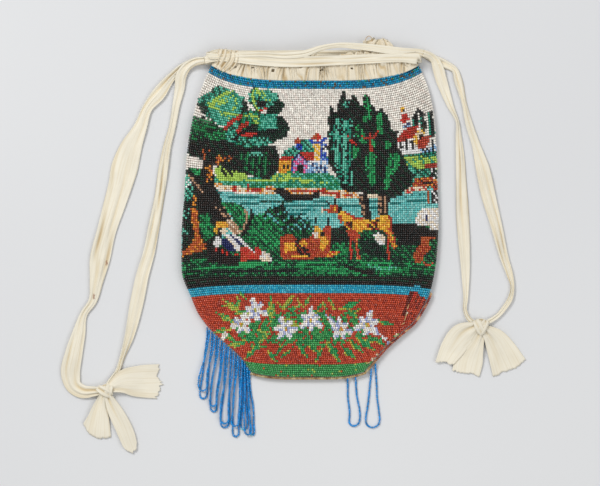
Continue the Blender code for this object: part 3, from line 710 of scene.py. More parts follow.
def knot_wraps(word, place, size, turn, ribbon_silk, node):
    """Turns of the ribbon that are drawn over the knot, from the floor on one side to the other."""
    wraps = []
    reach = np.array(size) * MM / 2 * 1.16
    for number, (degrees, shift, width) in enumerate(KNOT_WRAPS, 1):
        way = math.radians(turn + degrees)
        stations, facings = [], []
        for t in np.linspace(-0.12, 1.12, 34):
            a = math.pi * t
            out = np.array((math.cos(a) * math.cos(way), math.cos(a) * math.sin(way), math.sin(a)))
            beside = np.array((-math.sin(way), math.cos(way), 0.0)) * shift * reach[0]
            level = 1 + 0.10 * number / 3
            point = np.array(place) * MM + out * reach * level + beside
            stations.append((*point, width * (0.62 + 0.38 * math.sin(max(min(a, math.pi), 0)))))
            facings.append(out / np.linalg.norm(out))
        wrap = silk_strip(f"{word}_knot_wrap_{number}", np.array(stations), np.array(facings),
                          60 + number + len(word), columns=15, full_width=0.010, folds=1.1, floor=False,
                          depth_limit=0.0006)
        dress(wrap, ribbon_silk, "ribbon_silk", node)
        wraps.append(wrap)
    return wraps


def ribbon_knot(name, place, size, turn):
    """A knot of silk: a lump of tight folds that wind about it."""
    bpy.ops.object.select_all(action="DESELECT")
    bpy.ops.mesh.primitive_ico_sphere_add(subdivisions=5, radius=0.5)
    knot = bpy.context.object
    knot.name = name
    knot.data.name = name
    count = len(knot.data.vertices)
    points = np.empty(count * 3)
    knot.data.vertices.foreach_get("co", points)
    points = points.reshape(-1, 3)
    angle = np.arctan2(points[:, 1], points[:, 0])
    tilt = np.arcsin(np.clip(points[:, 2] * 2, -1, 1))
    folds = 0.07 * np.sin(5 * tilt + 2.4 * np.sin(angle + 0.6) + 0.8) + 0.04 * np.sin(
        9 * tilt + 3.2 * np.sin(angle * 2 + 1.2)) + 0.05 * np.sin(3 * angle + 2 * tilt)
    points = points * (1 + folds)[:, None] * np.array(size)[None, :] * MM * 1.12
    a = math.radians(turn)
    x = points[:, 0] * math.cos(a) - points[:, 1] * math.sin(a)
    y = points[:, 0] * math.sin(a) + points[:, 1] * math.cos(a)
    points = np.stack([x, y, points[:, 2]], -1) + np.array(place) * MM
    points[:, 2] = np.maximum(points[:, 2], 0.0002)
    knot.data.vertices.foreach_set("co", points.ravel())
    knot.data.update()
    give_uv(knot, np.stack([angle * 0.005, tilt * 0.003], -1))
    # How deep each point lies in a fold, for the painted shade in the folds
    give_fold_shade(knot, 0.5 + folds * 5)
    knot.data.shade_smooth()
    return knot


def shell(name, inset, rows, first_place, steps):
    """An open bag inside the beads, closed along the bottom, with its wall on the inside."""
    places = first_place + (1.0 - first_place) * np.linspace(0, 1, rows)**1.15
    share = np.linspace(0, 1, steps + 1)
    rings = []
    for place in places:
        front = bag_surface(place, share, 1, inset)
        back = bag_surface(place, share[::-1], -1, inset)[1:-1]
        rings.append(np.concatenate([front, back]))
    points = np.concatenate(rings)
    rises = np.where(points[:, 2] > FOLD_RADIUS, 1.0, -1.0)
    points[:, 2] += rises * lie(points[:, 0], points[:, 1]) * np.clip(
        np.abs(points[:, 2] - FOLD_RADIUS) / FOLD_RADIUS, 0, 1)
    points[:, 2] = np.maximum(points[:, 2], inset)
    columns = 2 * steps
    bag = new_mesh_object(name, points, grid_faces(rows, columns, closed=True))
    run = np.linspace(0, 2 * BAG_WIDTH, columns)
    give_uv(bag, np.stack([np.tile(run, rows), np.repeat(places * BAG_LENGTH, columns)], -1))
    only(bag)
    bpy.ops.object.mode_set(mode="EDIT")
    bpy.ops.mesh.select_all(action="SELECT")
    bpy.ops.mesh.remove_doubles(threshold=0.00005)
    bpy.ops.object.mode_set(mode="OBJECT")
    bag.data.shade_smooth()
    apply_modifier(bag, "SOLIDIFY", thickness=FABRIC_THICKNESS, offset=-1)
    return bag


def modelled_bead(segments=0, rings=0):
    """One bead a unit across, as points and triangles: turned about X, or from 20 faces if none are named."""
    bpy.ops.object.select_all(action="DESELECT")
    if segments:
        bpy.ops.mesh.primitive_uv_sphere_add(segments=segments, ring_count=rings, radius=0.5,
                                             rotation=(0, math.pi / 2, 0))
    else:
        bpy.ops.mesh.primitive_ico_sphere_add(subdivisions=1, radius=0.5)
    bead = bpy.context.object
    bpy.ops.object.transform_apply(location=True, rotation=True, scale=True)
    bpy.ops.object.mode_set(mode="EDIT")
    bpy.ops.mesh.select_all(action="SELECT")
    bpy.ops.mesh.quads_convert_to_tris()
    bpy.ops.object.mode_set(mode="OBJECT")
    points = np.array([v.co for v in bead.data.vertices])
    triangles = np.array([tuple(f.vertices) for f in bead.data.polygons])
    bpy.data.objects.remove(bead, do_unlink=True)
    return points, triangles


def strung(name, bead, middles, frames, sizes, colours, string=None, string_colour=None):
    """Copies of one bead at middles, turned by frames, sized on their own three axes, each in its colour."""
    shape, triangles = bead
    placed = np.einsum("npk,nkj->npj", shape[None] * sizes[:, None, :], frames) + middles[:, None, :]
    faces = triangles[None] + (np.arange(len(middles)) * len(shape))[:, None, None]
    points, faces = placed.reshape(-1, 3), faces.reshape(-1, 3)
    shades = np.repeat(colours, len(shape), axis=0)
    if string is not None:
        points, faces = joined([(points, faces), string])
        shades = np.concatenate([shades, np.tile(string_colour, (len(string[0]), 1))])
    mesh = bpy.data.meshes.new(name)
    mesh.vertices.add(len(points))
    mesh.vertices.foreach_set("co", points.astype(np.float32).ravel())
    mesh.loops.add(faces.size)
    mesh.loops.foreach_set("vertex_index", faces.astype(np.int32).ravel())
    mesh.polygons.add(len(faces))
    mesh.polygons.foreach_set("loop_start", np.arange(0, faces.size, 3, dtype=np.int32))
    mesh.update(calc_edges=True)
    mesh.shade_smooth()
    give_bead_colour(mesh, shades)
    return new_object(name, mesh)


def frames_along(along, up):
    """Turned axes for beads: along the thread, across it, and away from the cloth."""
    along = unit(along)
    out = unit(np.cross(along, up))
    return np.stack([along, np.cross(out, along), out], 1)


def row_length(place):
    left, right, left_fold, right_fold = half_round(place, BEAD_INSET)
    return float(right - left + (math.pi / 2 - 1) * (left_fold + right_fold))


def bead_net():
    """Every bead of a face: its place up the bag, its share of the row, its row, its column and its pitch.

    The rows gain beads in blocks, as the knitting does, up to the bag's widest place.
    """
    place, share, row, column, pitch = [], [], [], [], []
    for r in range(BEAD_ROWS):
        block = (r // ROWS_BETWEEN_DECREASES + 0.5) * ROWS_BETWEEN_DECREASES
        n = int(round(row_length(min(block / BEAD_ROWS, SHAPING_END)) / BEAD_PITCH))
        at = (r + 0.5) / BEAD_ROWS
        place.append(np.full(n, at))
        share.append((np.arange(n) + 0.5) / n)
        row.append(np.full(n, r))
        column.append(np.arange(n) - n // 2)
        pitch.append(np.full(n, row_length(at) / n))
    return tuple(np.concatenate(values) for values in (place, share, row, column, pitch))


def beadwork(glass):
    """The bag's two faces of beads, in panels of rows."""
    chance = np.random.default_rng(11)
    bead = modelled_bead()
    all_middles, all_colours = [], []
    row_pitch, step = BAG_LENGTH / BEAD_ROWS, BEAD_LOOK_STEP
    for side, word in ((1, "front"), (-1, "back")):
        place, share, row, column, pitch = bead_net()
        middles = bag_surface(place, share, side, BEAD_INSET)
        along = bag_surface(place, share + step, side, BEAD_INSET) - bag_surface(
            place, share - step, side, BEAD_INSET)
        up = bag_surface(np.minimum(place + step, 1.0), share, side, BEAD_INSET) - bag_surface(
            np.maximum(place - step, 0.0), share, side, BEAD_INSET)
        frames = frames_along(along, up * side)
        colours = bead_colours(middles, place, row, column, side, chance)
        out = frames[:, 2]
        middles = middles + out * (lie(middles[:, 0], middles[:, 1]) * np.clip(
            np.abs(out[:, 2]), 0, 1))[:, None]
        middles = middles + frames[:, 0] * chance.normal(0, 0.00004, len(place))[:, None]
        middles = middles + frames[:, 1] * chance.normal(0, 0.00005, len(place))[:, None]
        middles[:, 2] = np.maximum(middles[:, 2], BEAD_DEPTH / 2)
        sizes = np.stack([
            pitch * BEAD_COVER, np.full(len(place), row_pitch * BEAD_COVER),
            np.full(len(place), BEAD_DEPTH)], -1)
        sizes = sizes * chance.normal(1.0, 0.035, (len(place), 1))
        all_middles.append(middles)
        all_colours.append(colours)
        for number in range(BEAD_PANELS):
            here = row * BEAD_PANELS // BEAD_ROWS == number
            panel = strung(f"{word}_beads_{number + 1}", bead, middles[here], frames[here], sizes[here],
                           colours[here])
            dress(panel, glass, "beadwork", "beadwork_bag")
    return np.concatenate(all_middles), np.concatenate(all_colours)


def tint_ground(ground, middles, colours):
    """Light comes through the glass to the thread: each of its points gets the nearest bead's colour."""
    tree = KDTree(len(middles))
    for number, middle in enumerate(middles):
        tree.insert(middle, number)
    tree.balance()
    nearest = [tree.find(vertex.co)[1] for vertex in ground.data.vertices]
    give_bead_colour(ground.data, colours[nearest])


# The glass colours, from their 0 to 255 values
GLASS = {
    "sky": (255, 250, 240), "sky_rose": (247, 236, 226), "blue": (0, 150, 192), "deep_blue": (0, 110, 152),
    "band_brown": (110, 88, 56), "turquoise": (30, 164, 198), "turquoise_light": (72, 186, 208),
    "ink": (14, 20, 20), "umber": (40, 28, 24), "bottle": (8, 58, 38), "green": (24, 134, 74),
    "bright_green": (44, 172, 98), "teal": (30, 150, 122), "light_teal": (104, 204, 176),
    "yellow_green": (186, 222, 98), "brick": (204, 78, 48), "dark_brick": (174, 58, 38),
    "deep_brick": (112, 38, 28), "scarlet": (214, 54, 42), "rust": (194, 94, 44), "orange": (240, 156, 52),
    "yellow": (250, 198, 66),
    "cream": (250, 232, 204), "tan": (200, 156, 122), "white": (250, 248, 246), "pink": (240, 98, 156),
    "navy": (24, 36, 96), "royal": (30, 74, 190), "pale_blue": (144, 188, 226), "lilac": (176, 186, 228),
    "river": (104, 200, 196), "river_light": (150, 220, 214), "river_teal": (0, 118, 114),
    "leaf": (70, 168, 90), "leaf_light": (172, 196, 84), "leaf_gold": (196, 186, 70),
    "seam_green": (68, 154, 86),
}
# The chart's own squares: x to the right and y down, each 0.7 mm, with the bag's origin at this square
CHART_SQUARE = 0.0007
CHART_ORIGIN = (310, 226)


class Chart:
    """The picture that is knitted in, worked out for every bead of a face at once."""

    def __init__(self, middles, place, row, column, side, chance):
        self.x = CHART_ORIGIN[0] + side * middles[:, 0] / CHART_SQUARE
        self.y = CHART_ORIGIN[1] - middles[:, 1] / CHART_SQUARE
        self.place, self.row, self.column = place, row, column
        self.stray = chance.random(len(place))
        self.wander = chance.normal(0, 1, (2, len(place)))
        self.colours = np.zeros((len(place), 3))

    def paint(self, here, names):
        """Beads of one colour, or of several that take turns.

        They change with every bead, with every column after a "|", or with every row after a "-".
        """
        parts = np.array([srgb(*GLASS[name]) for name in names.strip("|-").split()])
        run = {"|": self.column, "-": self.row}.get(names[0], self.column + self.row)
        turn = run[here] + np.floor(self.stray[here] * 1.3).astype(int)
        self.colours[here] = parts[turn % len(parts)]

    def scatter(self, here, names, share):
        """A share of the beads alone, here and there."""
        self.paint(here & (np.mod(self.stray * 7.31, 1.0) < share), names)

    def within(self, points, ragged=0.0):
        """The beads inside an outline, with its edge made uneven by so many squares."""
        x, y = self.x + ragged * self.wander[0], self.y + ragged * self.wander[1]
        inside = np.zeros(len(x), bool)
        for (ax, ay), (bx, by) in zip(points, points[1:] + points[:1]):
            if ay != by:
                inside ^= ((ay > y) != (by > y)) & (x < (bx - ax) * (y - ay) / (by - ay) + ax)
        return inside

    def patch(self, names, *points, ragged=0.0, share=None):
        here = self.within(list(points), ragged)
        if share is None:
            self.paint(here, names)
        else:
            self.scatter(here, names, share)

    def box(self, names, left, top, right, bottom, share=None):
        self.patch(names, (left, top), (right, top), (right, bottom), (left, bottom), share=share)

    def spot(self, names, x, y, half_width, half_height=None, ragged=0.0):
        half_height = half_height or half_width
        away = np.hypot((self.x + ragged * self.wander[0] - x) / half_width,
                        (self.y + ragged * self.wander[1] - y) / half_height)
        self.paint(away < 1, names)

    def line(self, names, width, *points):
        near = np.full(len(self.x), 1e9)
        for (ax, ay), (bx, by) in zip(points, points[1:]):
            dx, dy = bx - ax, by - ay
            t = np.clip(((self.x - ax) * dx + (self.y - ay) * dy) / (dx * dx + dy * dy), 0, 1)
            near = np.minimum(near, np.hypot(self.x - ax - t * dx, self.y - ay - t * dy))
        self.paint(near < width / 2, names)


def knit_upper_bands(chart):
    """Sky below the blue band at the rim, with the river's ground under it."""
    chart.paint(chart.place < 2, "sky sky sky_rose sky sky")
    chart.paint(chart.place < 0.62, "river river_light")
    chart.paint(chart.place > 0.9735, "blue blue deep_blue blue")
    chart.scatter(chart.place > 0.9735, "band_brown teal deep_blue", 0.14)


def knit_lower_bands(chart):
    """The meadow's dark edge, turquoise, brick red and green, from the top down."""
    chart.paint(chart.place < 0.341, "-ink bottle umber")
    chart.paint(chart.place < 0.328, "umber ink")
    chart.paint(chart.place < 0.314, "turquoise turquoise_light turquoise")
    chart.paint(chart.place < 0.283, "brick dark_brick brick brick")
    chart.paint(chart.place < 0.043, "seam_green leaf seam_green")
    chart.scatter(chart.place < 0.046, "rust leaf_light", 0.05)


def knit_left_trees(chart):
    """The crowns of the trees at the left."""
    chart.patch("teal light_teal teal bottle", (198.8, 106.4), (197, 100), (202, 95), (208, 93), (211, 89),
                (218, 85.7), (226, 87.4), (229.4, 91.5), (234.4, 92.3), (241, 95.7), (244.4, 97.3),
                (243.5, 106.4),
                (242, 116), (232, 122), (226, 127), (217, 123.5), (205, 116), (200.5, 110.5), ragged=0.5)
    chart.patch("light_teal light_teal teal", (221, 100), (243, 96.5), (243, 116), (229, 124), (218, 123),
                (210, 112), ragged=0.8)
    chart.patch("ink bottle", (198, 104), (206, 103), (208, 112), (206, 115.5), (200, 110.5), ragged=0.7)
    for names, width, *points in (
            ("yellow_green", 3.4, (209, 104), (218, 98), (226, 93.5), (233, 92.5)),
            ("yellow_green yellow_green light_teal", 6.0, (211, 104.5), (222, 102.5), (228, 99)),
            ("yellow_green", 2.4, (210, 105), (216, 109.5), (226, 112.5), (239, 114.5)),
            ("yellow_green teal", 2.2, (232, 93), (236, 98), (237, 106), (233, 110)),
            ("yellow_green teal", 2.2, (219, 110), (224, 116), (231, 118))):
        chart.line(names, width, *points)
    chart.patch("teal light_teal bottle", (248.5, 94.8), (253.5, 88.2), (262.6, 90.7), (267.6, 89.9),
                (276.7, 93.2), (279.2, 97.3), (278.4, 104), (268, 109), (256, 110.5), (250, 104), ragged=0.4)
    chart.patch("light_teal teal", (264, 92), (276.5, 94), (278, 102), (268, 101), ragged=0.5)
    chart.patch("yellow_green yellow_green teal", (252, 89), (258, 88.5), (264, 92), (266, 97), (260, 98),
                (256, 93))
    chart.line("yellow_green", 2.2, (253.5, 90), (253, 98), (255, 106), (258, 110))
    chart.line("yellow_green light_teal", 2.0, (262, 96), (268, 101), (272, 102))
    chart.patch("ink bottle", (243, 101), (249, 106), (247, 113), (241, 113.5), ragged=0.6)
    chart.patch("ink umber", (256, 103.5), (267.6, 99.8), (267, 107), (257.6, 108.5), ragged=0.4)
    chart.patch("ink bottle", (277.5, 100.6), (280.8, 99.8), (285, 106.4), (282.5, 110.6), (277, 115.4),
                (269.2, 113.9), (265, 111.4), (271, 106.4), ragged=0.4)
    chart.line("scarlet", 2.0, (260.5, 110.8), (266, 108.4))
    chart.patch("|teal bottle green", (239, 117), (250, 110), (263, 113), (275, 115), (289.5, 128.8),
                (274, 143), (240, 152), (226, 150), (226, 132), ragged=0.4)
    chart.patch("-green bottle green ink", (188.5, 116), (192, 114.7), (198, 116.4), (203.7, 117.2),
                (213.7, 121.4), (217, 126.3), (222.8, 128.8), (227, 129), (227, 142), (208, 150),
                (184, 144), (186, 126), ragged=0.4)
    chart.patch("bright_green green bottle", (190, 116), (197, 118), (198, 126), (190, 130), ragged=1.0)
    chart.patch("bright_green green bottle", (206, 134), (222, 131), (220, 142), (208, 143), ragged=1.0)
    chart.patch("light_teal teal", (260, 117), (276, 114), (281, 118), (279, 129), (266, 130.5),
                (260, 125.5), ragged=0.5)
    chart.patch("ink bottle", (276, 117), (282.5, 117), (287.5, 123), (289.8, 128.8), (286.6, 136.3),
                (281.7, 139.6), (274.2, 142), (262.6, 143), (252, 140), (256, 131), (266, 130), (278, 128),
                ragged=0.3)
    chart.patch("yellow_green yellow_green teal", (244.4, 116.4), (252.6, 113), (259.3, 118),
                (259.3, 124), (253.5, 123), (252, 117))
    chart.patch("teal light_teal bottle", (226, 128), (238, 122), (240, 139), (241, 143), (226, 143),
                ragged=0.6)
    chart.patch("ink umber bottle", (247, 124), (258, 124), (258, 139), (246, 140), ragged=0.5)
    chart.line("scarlet dark_brick", 3.6, (226, 128.5), (229.5, 123), (241, 116.8))
    chart.line("scarlet dark_brick", 4.4, (238.6, 131.5), (242, 126.5), (247, 124.5))
    chart.line("scarlet", 2.8, (242, 135.2), (256, 134.6))
    chart.line("ink", 3.0, (233.5, 139.5), (242.7, 133), (251, 128))
    chart.patch("teal bottle light_teal", (244, 138), (270, 139), (270, 146), (240, 147), ragged=0.7)
    chart.patch("ink umber ink bottle", (183, 140), (196, 139.5), (232, 142), (244, 148), (268, 146),
                (276, 146), (279, 157), (279.5, 171), (268, 180), (216, 166), (204, 163), (190, 157),
                (182, 150), ragged=0.3)
    chart.patch("|bottle green ink", (238, 153), (266, 151), (272, 170), (262, 178), (244, 171), ragged=0.8)
    chart.box("light_teal bottle", 249, 152, 263, 156)
    chart.patch("sky sky_rose", (183, 149), (190, 155.5), (197, 157), (203, 161.5), (202.5, 170),
                (183, 168))
    chart.patch("rust orange umber", (214.5, 163), (218, 155.5), (224, 157), (231.5, 155), (231, 160),
                (222, 162), (217, 166), ragged=0.3)
    chart.line("rust", 1.8, (203.5, 149.5), (205, 161))
    chart.spot("rust", 209, 150.5, 1.4)


def knit_village(chart):
    """The houses over the river, on their green bank."""
    chart.patch("teal light_teal bottle", (282.5, 156), (286.7, 149.5), (294, 146.2), (303.2, 139.6),
                (309, 139.6), (313, 143.7), (326, 150), (329, 176), (280, 176), ragged=0.4)
    chart.patch("rust dark_brick", (294.2, 143), (297.8, 137), (301.2, 143))
    chart.box("navy royal", 296.6, 143.5, 301.6, 150)
    chart.box("pale_blue white", 294, 144.5, 296.6, 148)
    chart.patch("rust scarlet", (310.5, 140), (316.3, 132.6), (322, 138.5), (318, 141))
    chart.line("royal", 2.4, (309, 140), (313, 142.6), (319.6, 143.3), (325.6, 138.5))
    chart.patch("royal pale_blue", (320, 143.5), (326, 143.5), (328, 168), (320, 168))
    chart.box("white ink", 323, 146, 326, 152)
    chart.box("yellow yellow cream", 313.4, 145, 320.4, 163)
    chart.box("ink", 315.6, 147, 317.4, 149.4)
    chart.patch("dark_brick scarlet", (300, 153), (313.4, 151.8), (315, 160), (306.5, 160.5))
    chart.box("pale_blue white", 308, 160, 329, 177)
    for x, y in ((311, 163), (315, 165), (319.5, 164), (324, 168), (312, 171), (317.5, 172)):
        chart.box("navy", x, y, x + 1.8, y + 5)
    chart.patch("scarlet dark_brick", (279, 160), (282.5, 156), (293.8, 155.8), (292, 160.5))
    chart.box("yellow orange", 279.4, 160.3, 291.4, 174)
    chart.box("ink", 282.4, 165, 284.4, 168.5)
    chart.box("ink", 287.4, 165, 289.4, 168.5)
    chart.box("royal navy", 290.6, 160, 293.6, 176)
    chart.patch("ink navy", (292, 161), (299, 152), (307.5, 160.5), (306, 163), (299, 155.6), (294, 163))
    chart.patch("pink pink lilac", (294, 178), (294, 161), (299.2, 154.6), (306.6, 161.5), (307.4, 178))
    chart.box("ink umber", 298, 165.5, 302.6, 177)


def knit_right_village(chart):
    """The houses, trees and bank at the right edge."""
    chart.patch("|ink sky teal ink", (410, 123), (414, 115.5), (417.5, 107.5), (422, 112),
                (427, 114), (431, 109.5), (434, 116), (438, 130), (438, 139), (430, 136), (424, 131),
                (418, 127), (411, 127), ragged=0.5)
    chart.line("ink", 2.2, (417.5, 108.5), (421, 116), (425, 122))
    chart.spot("yellow orange", 402.6, 109.8, 2.8)
    chart.spot("ink", 402.8, 110, 1.1)
    chart.patch("scarlet", (399.6, 122.6), (402.5, 114.4), (405.6, 113), (410, 119.7), (404.2, 123))
    chart.box("pale_blue navy white", 402.5, 123, 409.6, 127.4)
    chart.patch("dark_brick scarlet dark_brick", (395.6, 142), (401, 133), (408.4, 127.2), (418.3, 126.3),
                (415.8, 134.6), (412.5, 138.8), (397.6, 142.2))
    chart.patch("white", (396.4, 143), (413.3, 139.6), (416.5, 144), (430, 147), (438, 140), (438, 154),
                (404, 154.5), (400, 150.4))
    for x, top, bottom in ((400.2, 142.6, 148), (406.2, 141, 148.2), (411.2, 141, 147.4)):
        chart.line("ink", 2.6, (x, top), (x + 1.2, bottom))
    chart.patch("yellow cream", (412.6, 140), (415, 133.8), (420, 130), (426, 132), (426, 136),
                (419, 140), (418.3, 149), (414.5, 144))
    chart.box("ink", 418.2, 134.4, 422.4, 138.6)
    chart.patch("dark_brick brick", (418.3, 140), (424, 137), (431.2, 135.2), (429.6, 142), (425, 148.4),
                (417.5, 148.4))
    chart.patch("pale_blue ink white", (419, 149), (431, 147), (431, 153), (419, 154))
    chart.box("white white pale_blue", 431, 143, 439, 153)
    chart.line("ink", 1.8, (433, 140), (434, 152))
    chart.patch("teal bottle", (404, 155), (439, 151.5), (439, 158), (404, 158))
    chart.patch("yellow_green leaf_light yellow_green teal", (404, 157), (439, 156), (439, 171), (408, 170))
    chart.box("dark_brick", 424, 163.2, 439, 168.4)
    chart.patch("teal bottle light_teal", (407, 168.5), (431, 168), (431, 177), (440, 190), (404, 190))
    chart.box("ink bottle white", 430, 168.6, 440, 178)


def knit_river(chart):
    """The river with its ripples, its far bank and its boats."""
    chart.patch("river river_light", (211, 189), (216, 190.5), (282.5, 199.8), (313, 199.8), (340, 197),
                (440, 188), (440, 224), (415, 221.4), (404, 223.8), (391.8, 224.7), (360, 222),
                (337, 226), (329.6, 228.8), (313, 231), (300, 230), (276, 212), (254, 214.5), (247, 213),
                (243, 206), (228, 204), (222, 201))
    for names, *points in (
            ("river_teal", (228, 196.5), (257.6, 197.5)), ("river_teal", (241, 203.5), (257.6, 203.8)),
            ("river_teal bottle", (259, 201), (292.5, 202)), ("river_teal", (275, 205.4), (330, 205)),
            ("river_teal river", (270, 209.8), (324, 210)), ("river_teal", (285, 215), (320, 215.4)),
            ("river_teal river", (296, 220), (318, 221)), ("river_teal", (313, 200.8), (325, 200.8)),
            ("river_teal", (338, 205.6), (362, 205.8)), ("river_teal", (368, 202), (379, 202)),
            ("river_teal", (368, 207.6), (379, 207.6)), ("river_teal", (391.8, 203), (428, 200.8)),
            ("river_teal river", (401, 196.4), (428, 194.2)), ("river_teal", (214, 190), (222, 193))):
        chart.line(names, 1.9, *points)
    chart.patch("bottle river ink green", (262, 214), (270, 207), (281, 204.5), (291, 216), (303, 219),
                (312, 225), (313, 231), (300, 231), (284, 228), (270, 222), ragged=1.2)
    for x, y in ((268, 208), (275, 207), (281, 204), (286, 211), (292, 215), (299, 214), (305, 219)):
        chart.line("ink bottle", 2.0, (x + 2, y), (x - 4, y + 9))
    chart.patch("teal light_teal green", (214, 177), (250, 178), (290, 172), (330, 174), (342, 181),
                (342, 190), (313, 189), (284, 188), (267.6, 187), (251.8, 188.8), (234.4, 186.5),
                (214, 184), ragged=0.2)
    chart.patch("yellow_green", (215.3, 168.3), (226, 164), (234.4, 170), (247.7, 172.4), (247.7, 180),
                (231, 181), (217.8, 180), ragged=0.5)
    chart.patch("ink yellow_green ink", (221, 168), (228, 166), (235, 171), (236, 175), (228, 178),
                (224, 174), ragged=0.8)
    chart.line("yellow_green", 2.0, (246, 180.4), (270, 180.6))
    chart.patch("yellow_green yellow_green teal", (267, 181), (278.4, 172.4), (291.6, 173.6),
                (292, 179.5), (327, 181.5), (327, 184), (292, 182.5))
    chart.line("yellow_green", 1.6, (290, 178.6), (313, 180.4))
    chart.patch("cream cream orange", (214, 183.2), (234.4, 185.9), (251.8, 188.4), (267.6, 186.8),
                (284, 187.4), (313, 188.4), (342, 190), (361, 194), (361, 198), (339.5, 198), (321, 196),
                (291, 193.6), (276.7, 194.6), (254.3, 193.2), (234.4, 191.2), (215.3, 187.4))
    for left, top, right, bottom in (
            (233.6, 186.5, 237.2, 191.4), (246.8, 184, 250.2, 192.6), (251.8, 188.8, 262.4, 192.6),
            (265, 188.2, 273, 190.4), (291, 190.4, 321, 193), (322, 188.6, 326.6, 194.6),
            (326, 191.4, 338, 194), (337, 192, 340.6, 197.8), (345, 194, 353, 197.4)):
        chart.box("dark_brick scarlet", left, top, right, bottom)
    chart.patch("umber ink", (272.5, 189.4), (284, 188.2), (291, 193.4), (313, 194), (318.8, 190.5),
                (319.6, 197.6), (313, 199.8), (284, 199.8), (277.5, 194))
    chart.box("cream", 367, 193, 379, 197.6)
    chart.patch("cream cream scarlet", (404.2, 190.7), (410.8, 186.3), (427.6, 185.6), (427.6, 189.4),
                (416.6, 191.9), (405, 193.6))
    chart.patch("rust dark_brick orange", (412.5, 186), (415, 179), (423.3, 177), (433.2, 177.6),
                (438, 181.6), (438, 189), (434.9, 190.3), (429, 185.9))
    chart.line("umber", 1.6, (420, 179), (424, 184), (431, 182), (436, 186))
    chart.box("ink white umber", 430.6, 190.6, 439, 203)
    chart.line("rust", 2.0, (429, 191), (429.4, 203))


def knit_poplars(chart):
    """The two tall trees in the middle, lit in columns, and their trunks."""
    chart.patch("ink umber ink bottle", (327, 121), (329.6, 113), (330.4, 107), (333.3, 109), (334.6, 113),
                (337, 111.4), (337.9, 104), (340.4, 98), (342, 92), (345.3, 92.4), (346.2, 99),
                (349.5, 100.6), (352, 96.5), (354.5, 95.4), (357.8, 100.6), (360.3, 104.8), (362, 107.3),
                (363.6, 95.5), (367.7, 95.5), (370.2, 99), (371, 104.8), (374.4, 106.4), (376, 111.4),
                (378.5, 109.8), (381.8, 108), (385, 113), (387.6, 116.4), (390, 123), (391.8, 130.5),
                (398.4, 130.5), (396, 139.6), (397.6, 147), (401.7, 153.7), (405.5, 160), (408, 168.3),
                (414.5, 176), (412.5, 182), (408.4, 187.8), (403.4, 191), (400.9, 195.7), (391.8, 198),
                (379.3, 194), (362.8, 193), (349.5, 192), (342, 189.6), (339.5, 181), (335.4, 174),
                (329, 164), (327.4, 148), (329, 140), (326.6, 135), (329.6, 128))
    chart.patch("|light_teal ink teal ink", (331, 118), (352, 118), (352, 186), (344, 186), (334, 168),
                (331, 140), ragged=1.2)
    for points in (
            ((344, 103), (350, 100), (352, 110), (346, 111)),
            ((335.4, 121.5), (344, 120), (352, 122), (351, 128), (343, 131), (336, 127)),
            ((330.6, 131.4), (337, 130), (340, 135), (349.4, 130), (349.6, 138), (346, 146), (341, 145),
             (334, 138)),
            ((333, 148), (344, 148), (346, 158), (345, 170), (338, 166), (333, 156)),
            ((343.7, 160), (349, 166), (353, 178), (352.6, 186), (347, 184), (344, 172))):
        chart.patch("|light_teal teal ink light_teal", *points, ragged=0.5)
    for points in (
            ((363.6, 95.7), (367.7, 96.4), (370, 106), (371, 118), (368.4, 124), (363.4, 123),
             (362, 117), (366, 113), (363.6, 103)),
            ((357, 124), (361, 124.6), (364.4, 134.6), (366, 143), (362, 144), (357, 139.6), (355.3, 129)),
            ((379.3, 109.8), (381.8, 109), (381.8, 118), (383.5, 130.5), (387.6, 134), (381, 135.5),
             (376, 126.3), (376.9, 116.4)),
            ((350, 148), (356, 146.4), (361, 150), (360, 157), (354, 159), (350, 154)),
            ((371, 139.6), (377, 143), (372.7, 153), (377, 157), (374.4, 163.7), (376, 186), (369, 184),
             (365, 170), (364.4, 158), (369, 152)),
            ((383.5, 141.3), (390, 141), (391, 150), (385, 150)),
            ((390, 154), (399, 153), (400, 166), (394, 174), (385, 178), (386, 168)),
            ((384, 178), (391, 177), (389, 188), (384, 189.6))):
        chart.patch("|bright_green green bright_green bottle", *points, ragged=0.35)
    chart.line("scarlet", 1.8, (348.6, 136.8), (349.6, 141.6))
    chart.line("scarlet", 2.6, (351.6, 141.6), (356, 144.6))
    chart.line("scarlet dark_brick", 2.4, (362, 137), (369, 139.4), (374, 137), (378.4, 131))
    chart.line("scarlet dark_brick", 2.6, (369.6, 134.6), (370.6, 143), (371, 151.6))
    chart.patch("tan tan umber", (358.2, 194.4), (362.8, 195), (366.4, 220), (362.4, 220))
    chart.patch("ink umber", (362.4, 192), (367.4, 193), (371.6, 221), (366, 221))
    chart.patch("tan tan umber", (378.3, 193.6), (382, 195.4), (382.2, 217), (378.5, 216))
    chart.patch("ink umber", (381.8, 193.6), (391, 198), (387.6, 204.8), (388, 215.4), (382.2, 216))
    chart.line("tan", 1.6, (385, 197), (384, 203), (385, 212))


